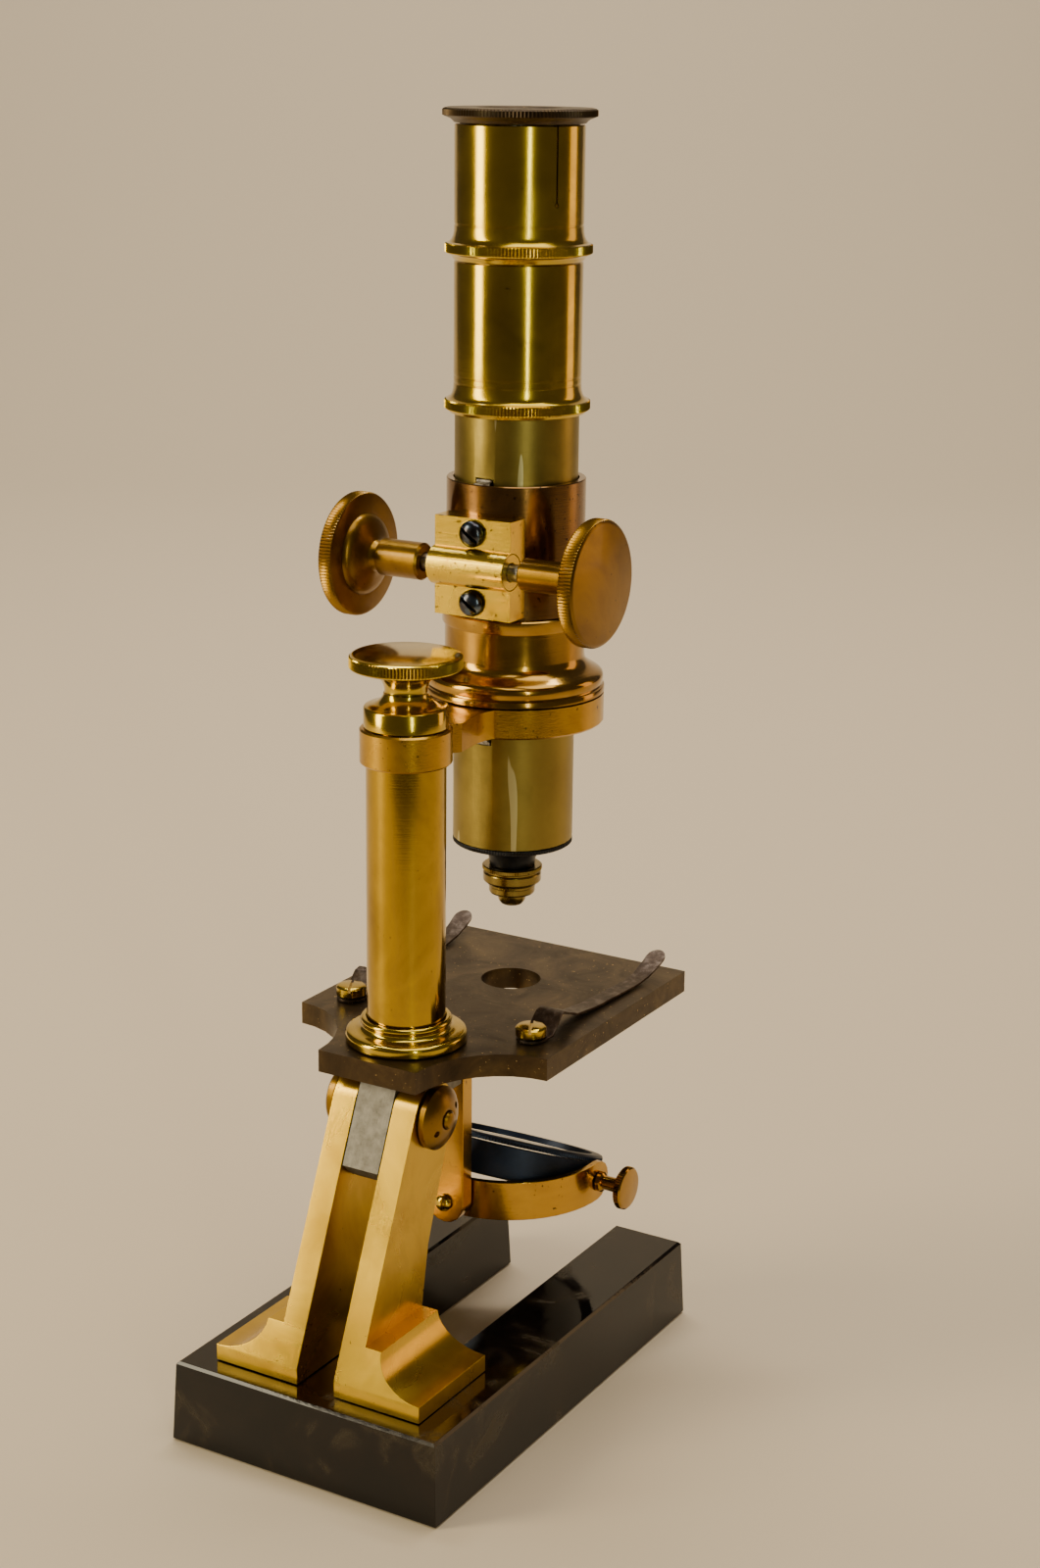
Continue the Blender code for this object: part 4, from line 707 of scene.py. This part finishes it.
nose = lathe("nosepiece_blacked",
             [(11.2, z1), (12.33, z1), (12.33, z1 - 5.75), (13.8, z1 - 5.75), (13.93, z1 - 5.9),
              (13.93, z1 - 6.55),
              (13.6, z1 - 6.8), (12.6, z1 - 6.98), (9.4, z1 - 7.1), (8.4, z1 - 7.2), (7.6, z1 - 7.55),
              (6.9, z1 - 8.1), (6.3, z1 - 8.9), (5.85, z1 - 9.9), (5.5, z1 - 11.1), (5.3, z0), (3.9, z0),
              (3.9, z1 - 5.9), (11.2, z1 - 4.9)],
             optic, steps=NOSE_RIBS * 2, sharp=40)
mill(nose, optic, "Z", z1 - 6.6, z1 - 5.85, 13.93, 0.15)
fit(nose, "tube", ["nosepiece"], "blackened_brass", oxide_black)

# old turned brass, dull olive where the lacquer has worn away: satin, with faint tool rings
aged_brass = brass_finish("turned_brass_aged_olive", "#8f7a34", "#6b5826", "#2a200e", 0.24,
                          (60.0, 60.0, 3300.0), 0.10, 0.26, 0.3)
MOUNT_RIBS = 80
o = z0 - 0.25
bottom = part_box("objective_mount")[0].z / MM
mount = lathe("objective_barrel",
              [(3.6, o + 4.5), (3.6, o), (6.7, o), (7.0, o - 0.2), (7.0, o - 0.95), (6.75, o - 1.15),
               (6.4, o - 1.3), (6.4, o - 1.55), (6.7, o - 1.75), (6.8, o - 1.95), (6.8, o - 3.6),
               (6.6, o - 3.95),
               (6.0, o - 4.3), (5.6, o - 4.6), (5.55, o - 5.1), (5.4, o - 5.3), (5.4, o - 6.4), (5.2, bottom),
               (2.9, bottom), (2.9, o + 4.5)], optic, steps=MOUNT_RIBS * 2, sharp=40)
mill(mount, optic, "Z", o - 1.0, o - 0.15, 7.0, 0.14)
fit(mount, "tube", ["objective_mount"], "lacquered_brass", aged_brass)
low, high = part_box("objective_front")
z0, z1 = low.z / MM, high.z / MM
cell = lathe("objective_front_cell",
             [(2.0, z1), (2.6, z1), (2.6, z0 + 2.65), (3.2, z0 + 2.65), (3.3, z0 + 2.5), (3.25, z0 + 1.3),
              (3.05, z0 + 0.85), (2.55, z0 + 0.15), (2.3, z0), (1.75, z0), (1.6, z0 + 0.2), (1.6, z0 + 1.5),
              (2.0, z0 + 1.7)], optic, steps=64)
fit(cell, "tube", ["objective_front"], "lacquered_brass", aged_brass)

lens_glass = new_material("optical_crown_glass")
shader = add(lens_glass, "BsdfPrincipled", {"Base Color": linear("#e8f0ee"), "Roughness": 0.02, "IOR": 1.52,
                                            "Transmission Weight": 1.0})
add(lens_glass, "OutputMaterial", {"Surface": shader.outputs[0]})
for glass in ("objective_lens", "eye_lens", "field_lens"):
    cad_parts[glass].material_slots[0].material = lens_glass


# --- Eyepiece socket and draw tube --------------------------------------------------------
# The socket is split down one side, ending in a drilled hole, so that it grips the eyepiece;
# its foot has a cove and a milled ring. The draw tube is soldered into it.
low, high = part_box("eyepiece_socket")
z0, z1 = low.z / MM, high.z / MM
socket = lathe("eyepiece_socket_sprung",
               [(13.1, z1), (14.05, z1), (SKIN, z1 - 0.2), (SKIN, z0 + 8.0), (GROOVE, z0 + 7.9),
                (GROOVE, z0 + 7.6),
                (SKIN, z0 + 7.5), (14.27, z0 + 6.4), (14.45, z0 + 5.3), (14.8, z0 + 4.5), (15.3, z0 + 3.95),
                (15.9, z0 + 3.7), (RING, z0 + 3.45), (RING, z0 + 1.75), (15.9, z0 + 1.5), (15.2, z0 + 1.25),
                (14.7, z0 + 0.8), (14.4, z0 + 0.2), (14.2, z0), (TUBE_BORE, z0), (TUBE_BORE, z0 + 5.6),
                (13.1, z0 + 5.6)],
               optic, steps=RING_RIBS * 2, sharp=40)
mill(socket, optic, "Z", z0 + 1.7, z0 + 3.5, RING, RIB_DEPTH)
slit_turn = math.radians(-25.2)
slit_at = optic + Vector((math.cos(slit_turn) * 14 * MM, math.sin(slit_turn) * 14 * MM, low.z + 27.4 * MM))
cut(socket, bar((4.0, 0.4, 30.0), slit_at, (0, 0, slit_turn)))
bpy.ops.object.select_all(action="DESELECT")
bpy.ops.mesh.primitive_cylinder_add(vertices=20, radius=0.55 * MM, depth=6 * MM,
                                    location=slit_at - Vector((0, 0, 15.0 * MM)),
                                    rotation=(0, math.pi / 2, slit_turn))
cut(socket, bpy.context.object)
fit(socket, "draw", ["eyepiece_socket"], "lacquered_brass", gold_lacquer)
low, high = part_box("draw_tube")
z0, z1 = low.z / MM, high.z / MM
drawn = lathe("draw_tube_drawn", [(11.55, z1), (11.55, z0 + 0.2), (11.4, z0), (10.9, z0), (10.9, z1)],
              optic, steps=96)
fit(drawn, "draw", ["draw_tube"], "lacquered_brass", bare_brass)


# --- Eyepiece -----------------------------------------------------------------------------
# A Huygenian eyepiece: a dark bronzed cap with a milled rim and a dished eye opening, a thin
# push-in tube, a black stop and two plano-convex lenses.
low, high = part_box("eyepiece_cap")
z0, z1 = low.z / MM, high.z / MM
cap = lathe("eyepiece_cap_milled",
            [(9.6, z1), (15.9, z1), (16.4, z1 - 0.12), (16.88, z1 - 0.45), (16.88, z1 - 1.65),
             (16.5, z1 - 1.85),
             (15.9, z1 - 2.1), (15.2, z1 - 2.35), (14.7, z1 - 2.75), (14.4, z1 - 3.1), (14.3, z0), (12.2, z0),
             (12.2, z0 + 1.1), (5.6, z0 + 1.1), (5.6, z0 + 2.2), (6.4, z0 + 2.2), (7.6, z0 + 2.35),
             (8.8, z0 + 2.8)],
            optic, steps=RING_RIBS * 2, sharp=40)
mill(cap, optic, "Z", z1 - 1.7, z1 - 0.4, 16.88, 0.28)
fit(cap, "eyepiece", ["eyepiece_cap"], "bronzed_brass", dark_bronze)
low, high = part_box("eyepiece_tube")
z0, z1 = low.z / MM, high.z / MM
push = lathe("eyepiece_push_tube", [(12.0, z1), (12.85, z1), (12.85, z0 + 0.2), (12.7, z0), (12.0, z0)],
             optic)
fit(push, "eyepiece", ["eyepiece_tube"], "lacquered_brass", bare_brass)
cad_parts["eyepiece_stop"].material_slots[0].material = oxide_black


# --- Mirror bar and fork ------------------------------------------------------------------
# A flat brass bar screwed to the front of the joint hub carries a sprung semicircular fork,
# bent from strip, on a riveted pivot at the middle of its bow.
orange_lacquer = brass_finish("rolled_brass_orange_lacquer", "#c89a2e", "#a07424", "#3a240c", 0.22,
                              (80.0, 80.0, 1500.0), 0.20, 0.28, 0.4)
hanger = recut("mirror_bar", "mirror_hanger", 0.2)
fit(hanger, "limb", ["mirror_bar"], "lacquered_brass", orange_lacquer, worn_brass)
low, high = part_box("mirror_bar_screw")
back = Vector((0.0, low.y, (low.z + high.z) / 2))
long = (high.y - low.y) / MM
screw = lathe("hanger_screw", [(0, long), (0.8, long - 0.06), (1.7, long - 0.35), (2.6, long - 0.95),
                               (3.05, long - 1.6), (3.1, long - 2.1), (1.7, long - 2.1), (1.7, 0.3), (1.4, 0),
                               (0, 0)], back, "Y", 56)
cut(screw, bar((9.0, 2.0, 0.7), back + Vector((0, high.y - low.y, 0))))
fit(screw, "limb", ["mirror_bar_screw"], "lacquered_brass", gold_lacquer)

bow = recut("mirror_fork", "mirror_fork_bow", 0.2)
fit(bow, "fork", ["mirror_fork"], "lacquered_brass", orange_lacquer, worn_brass)
low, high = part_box("fork_pivot_pin")
back = Vector((0.0, low.y, (low.z + high.z) / 2))
long = (high.y - low.y) / MM
pin = lathe("fork_rivet", [(0, long), (1.2, long), (1.2, 1.5), (2.0, 1.5), (2.0, 1.1), (1.75, 0.6),
                           (1.2, 0.2),
                           (0.6, 0.04), (0, 0)], back, "Y", 40)
fit(pin, "fork", ["fork_pivot_pin"], "lacquered_brass", gold_lacquer)


# --- Mirror -------------------------------------------------------------------------------
# A blacked brass cell with a plane glass on one side and a concave one on the other, held by
# a milled bezel, hung between two thumb screws whose small milled heads are lacquered red.
pivot = Vector((0.0, optic.y, (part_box("mirror_fork")[0].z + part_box("mirror_fork")[1].z) / 2))
tilt = math.radians(24.0)


def lean(piece):
    """Tip a piece about the mirror's pivots, its upper face away from the pillars."""
    select_only(piece)
    bpy.ops.object.mode_set(mode="EDIT")
    bpy.ops.mesh.select_all(action="SELECT")
    bpy.ops.transform.rotate(value=tilt, orient_axis="X", center_override=pivot)
    bpy.ops.object.mode_set(mode="OBJECT")


blue_black = new_material("blued_mirror_cell")
place = add(blue_black, "TexCoord")
bloom = add(blue_black, "TexNoise", {"Vector": place.outputs["Object"], "Scale": 70.0, "Detail": 5.0})
tint = add(blue_black, "ValToRGB", {"Fac": bloom.outputs["Fac"]},
           stops=[(0.35, "#161a24"), (0.60, "#27324a"), (0.80, "#3c4250")])
shader = add(blue_black, "BsdfPrincipled", {"Base Color": tint.outputs["Color"], "Metallic": 0.6,
                                            "Roughness": 0.44})
add(blue_black, "OutputMaterial", {"Surface": shader.outputs[0]})
RISE, DROP, RIM = 5.5, 4.0, 22.2
dish = lathe("mirror_cell_turned",
             [(0, RISE - 3.25), (20.4, RISE - 3.25), (20.4, RISE - 1.7), (RIM - 0.15, RISE - 1.7),
              (RIM, RISE - 1.85),
              (RIM, 0.6 - DROP), (RIM - 0.15, 0.25 - DROP), (RIM - 0.6, -DROP), (19.4, -DROP),
              (19.4, 0.35 - DROP),
              (20.4, 0.35 - DROP), (20.4, 2.85 - DROP), (0, 2.85 - DROP)], pivot, steps=144)
lean(dish)
fit(dish, "mirror", ["mirror_cell"], "blackened_brass", blue_black)
BEZEL_RIBS = 180
bezel = lathe("mirror_bezel_milled",
              [(19.4, RISE), (RIM - 0.7, RISE), (RIM - 0.35, RISE - 0.12), (RIM - 0.1, RISE - 0.35),
               (RIM - 0.08, RISE - 0.6), (RIM, RISE - 0.65), (RIM, RISE - 1.3), (RIM - 0.1, RISE - 1.4),
               (19.4, RISE - 1.4)], pivot, steps=BEZEL_RIBS * 2, sharp=40)
mill(bezel, pivot, "Z", RISE - 1.35, RISE - 0.62, RIM, 0.22)
lean(bezel)
fit(bezel, "mirror", ["mirror_bezel"], "blackened_brass", blue_black)

silvering = new_material("silvered_mirror_glass")
place = add(silvering, "TexCoord")
foxing = add(silvering, "TexNoise", {"Vector": place.outputs["Object"], "Scale": 160.0, "Detail": 6.0})
tint = add(silvering, "ValToRGB", {"Fac": foxing.outputs["Fac"]},
           stops=[(0.26, "#7c7668"), (0.36, "#dfe3e2")])
haze = add(silvering, "ValToRGB", {"Fac": foxing.outputs["Fac"]}, stops=[(0.26, 0.30), (0.36, 0.03)])
shader = add(silvering, "BsdfPrincipled", {"Base Color": tint.outputs["Color"], "Metallic": 1.0,
                                           "Roughness": haze.outputs["Color"], "Coat Weight": 1.0,
                                           "Coat Roughness": 0.01})
add(silvering, "OutputMaterial", {"Surface": shader.outputs[0]})
plane = lathe("plane_mirror_glass", [(0, RISE - 1.7), (19.8, RISE - 1.7), (20.1, RISE - 1.9),
                                     (20.1, RISE - 3.0),
                                     (0, RISE - 3.0)], pivot, steps=96)
lean(plane)
fit(plane, "mirror", ["plane_mirror"], "silvered_glass", silvering)
concave = lathe("concave_mirror_glass",
                [(0, 2.6 - DROP), (20.1, 2.6 - DROP), (20.1, 0.6 - DROP), (19.0, 0.6 - DROP)]
                + [(r, 1.7 - DROP - 1.1 * (r / 19.0) ** 2) for r in (16.0, 13.0, 10.0, 6.0, 3.0, 0)], pivot,
                steps=96)
lean(concave)
fit(concave, "mirror", ["concave_mirror"], "silvered_glass", silvering)

low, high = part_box("mirror_thumb_screw_right")
tip, end = low.x / MM, high.x / MM
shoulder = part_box("mirror_fork")[1].x / MM + 0.25
for side, word in ((-1, "left"), (1, "right")):
    profile = [(0, end), (4.2, end), (4.7, end - 0.12), (5.1, end - 0.45), (5.1, end - 1.65),
               (4.7, end - 2.0),
               (3.2, end - 2.2), (2.2, end - 2.7), (1.75, end - 3.4), (1.7, shoulder + 1.6),
               (2.1, shoulder + 1.3),
               (2.4, shoulder + 1.0), (2.4, shoulder), (1.1, shoulder), (1.1, tip), (0, tip)]
    thumb = lathe(f"mirror_thumb_{word}", [(r, side * h) for r, h in profile], pivot, "X", 112, 40)
    edges = sorted((side * (end - 1.7), side * (end - 0.4)))
    mill(thumb, pivot, "X", edges[0], edges[1], 5.1, 0.14)
    fit(thumb, "mirror", [f"mirror_thumb_screw_{word}"], "lacquered_brass", copper_lacquer)
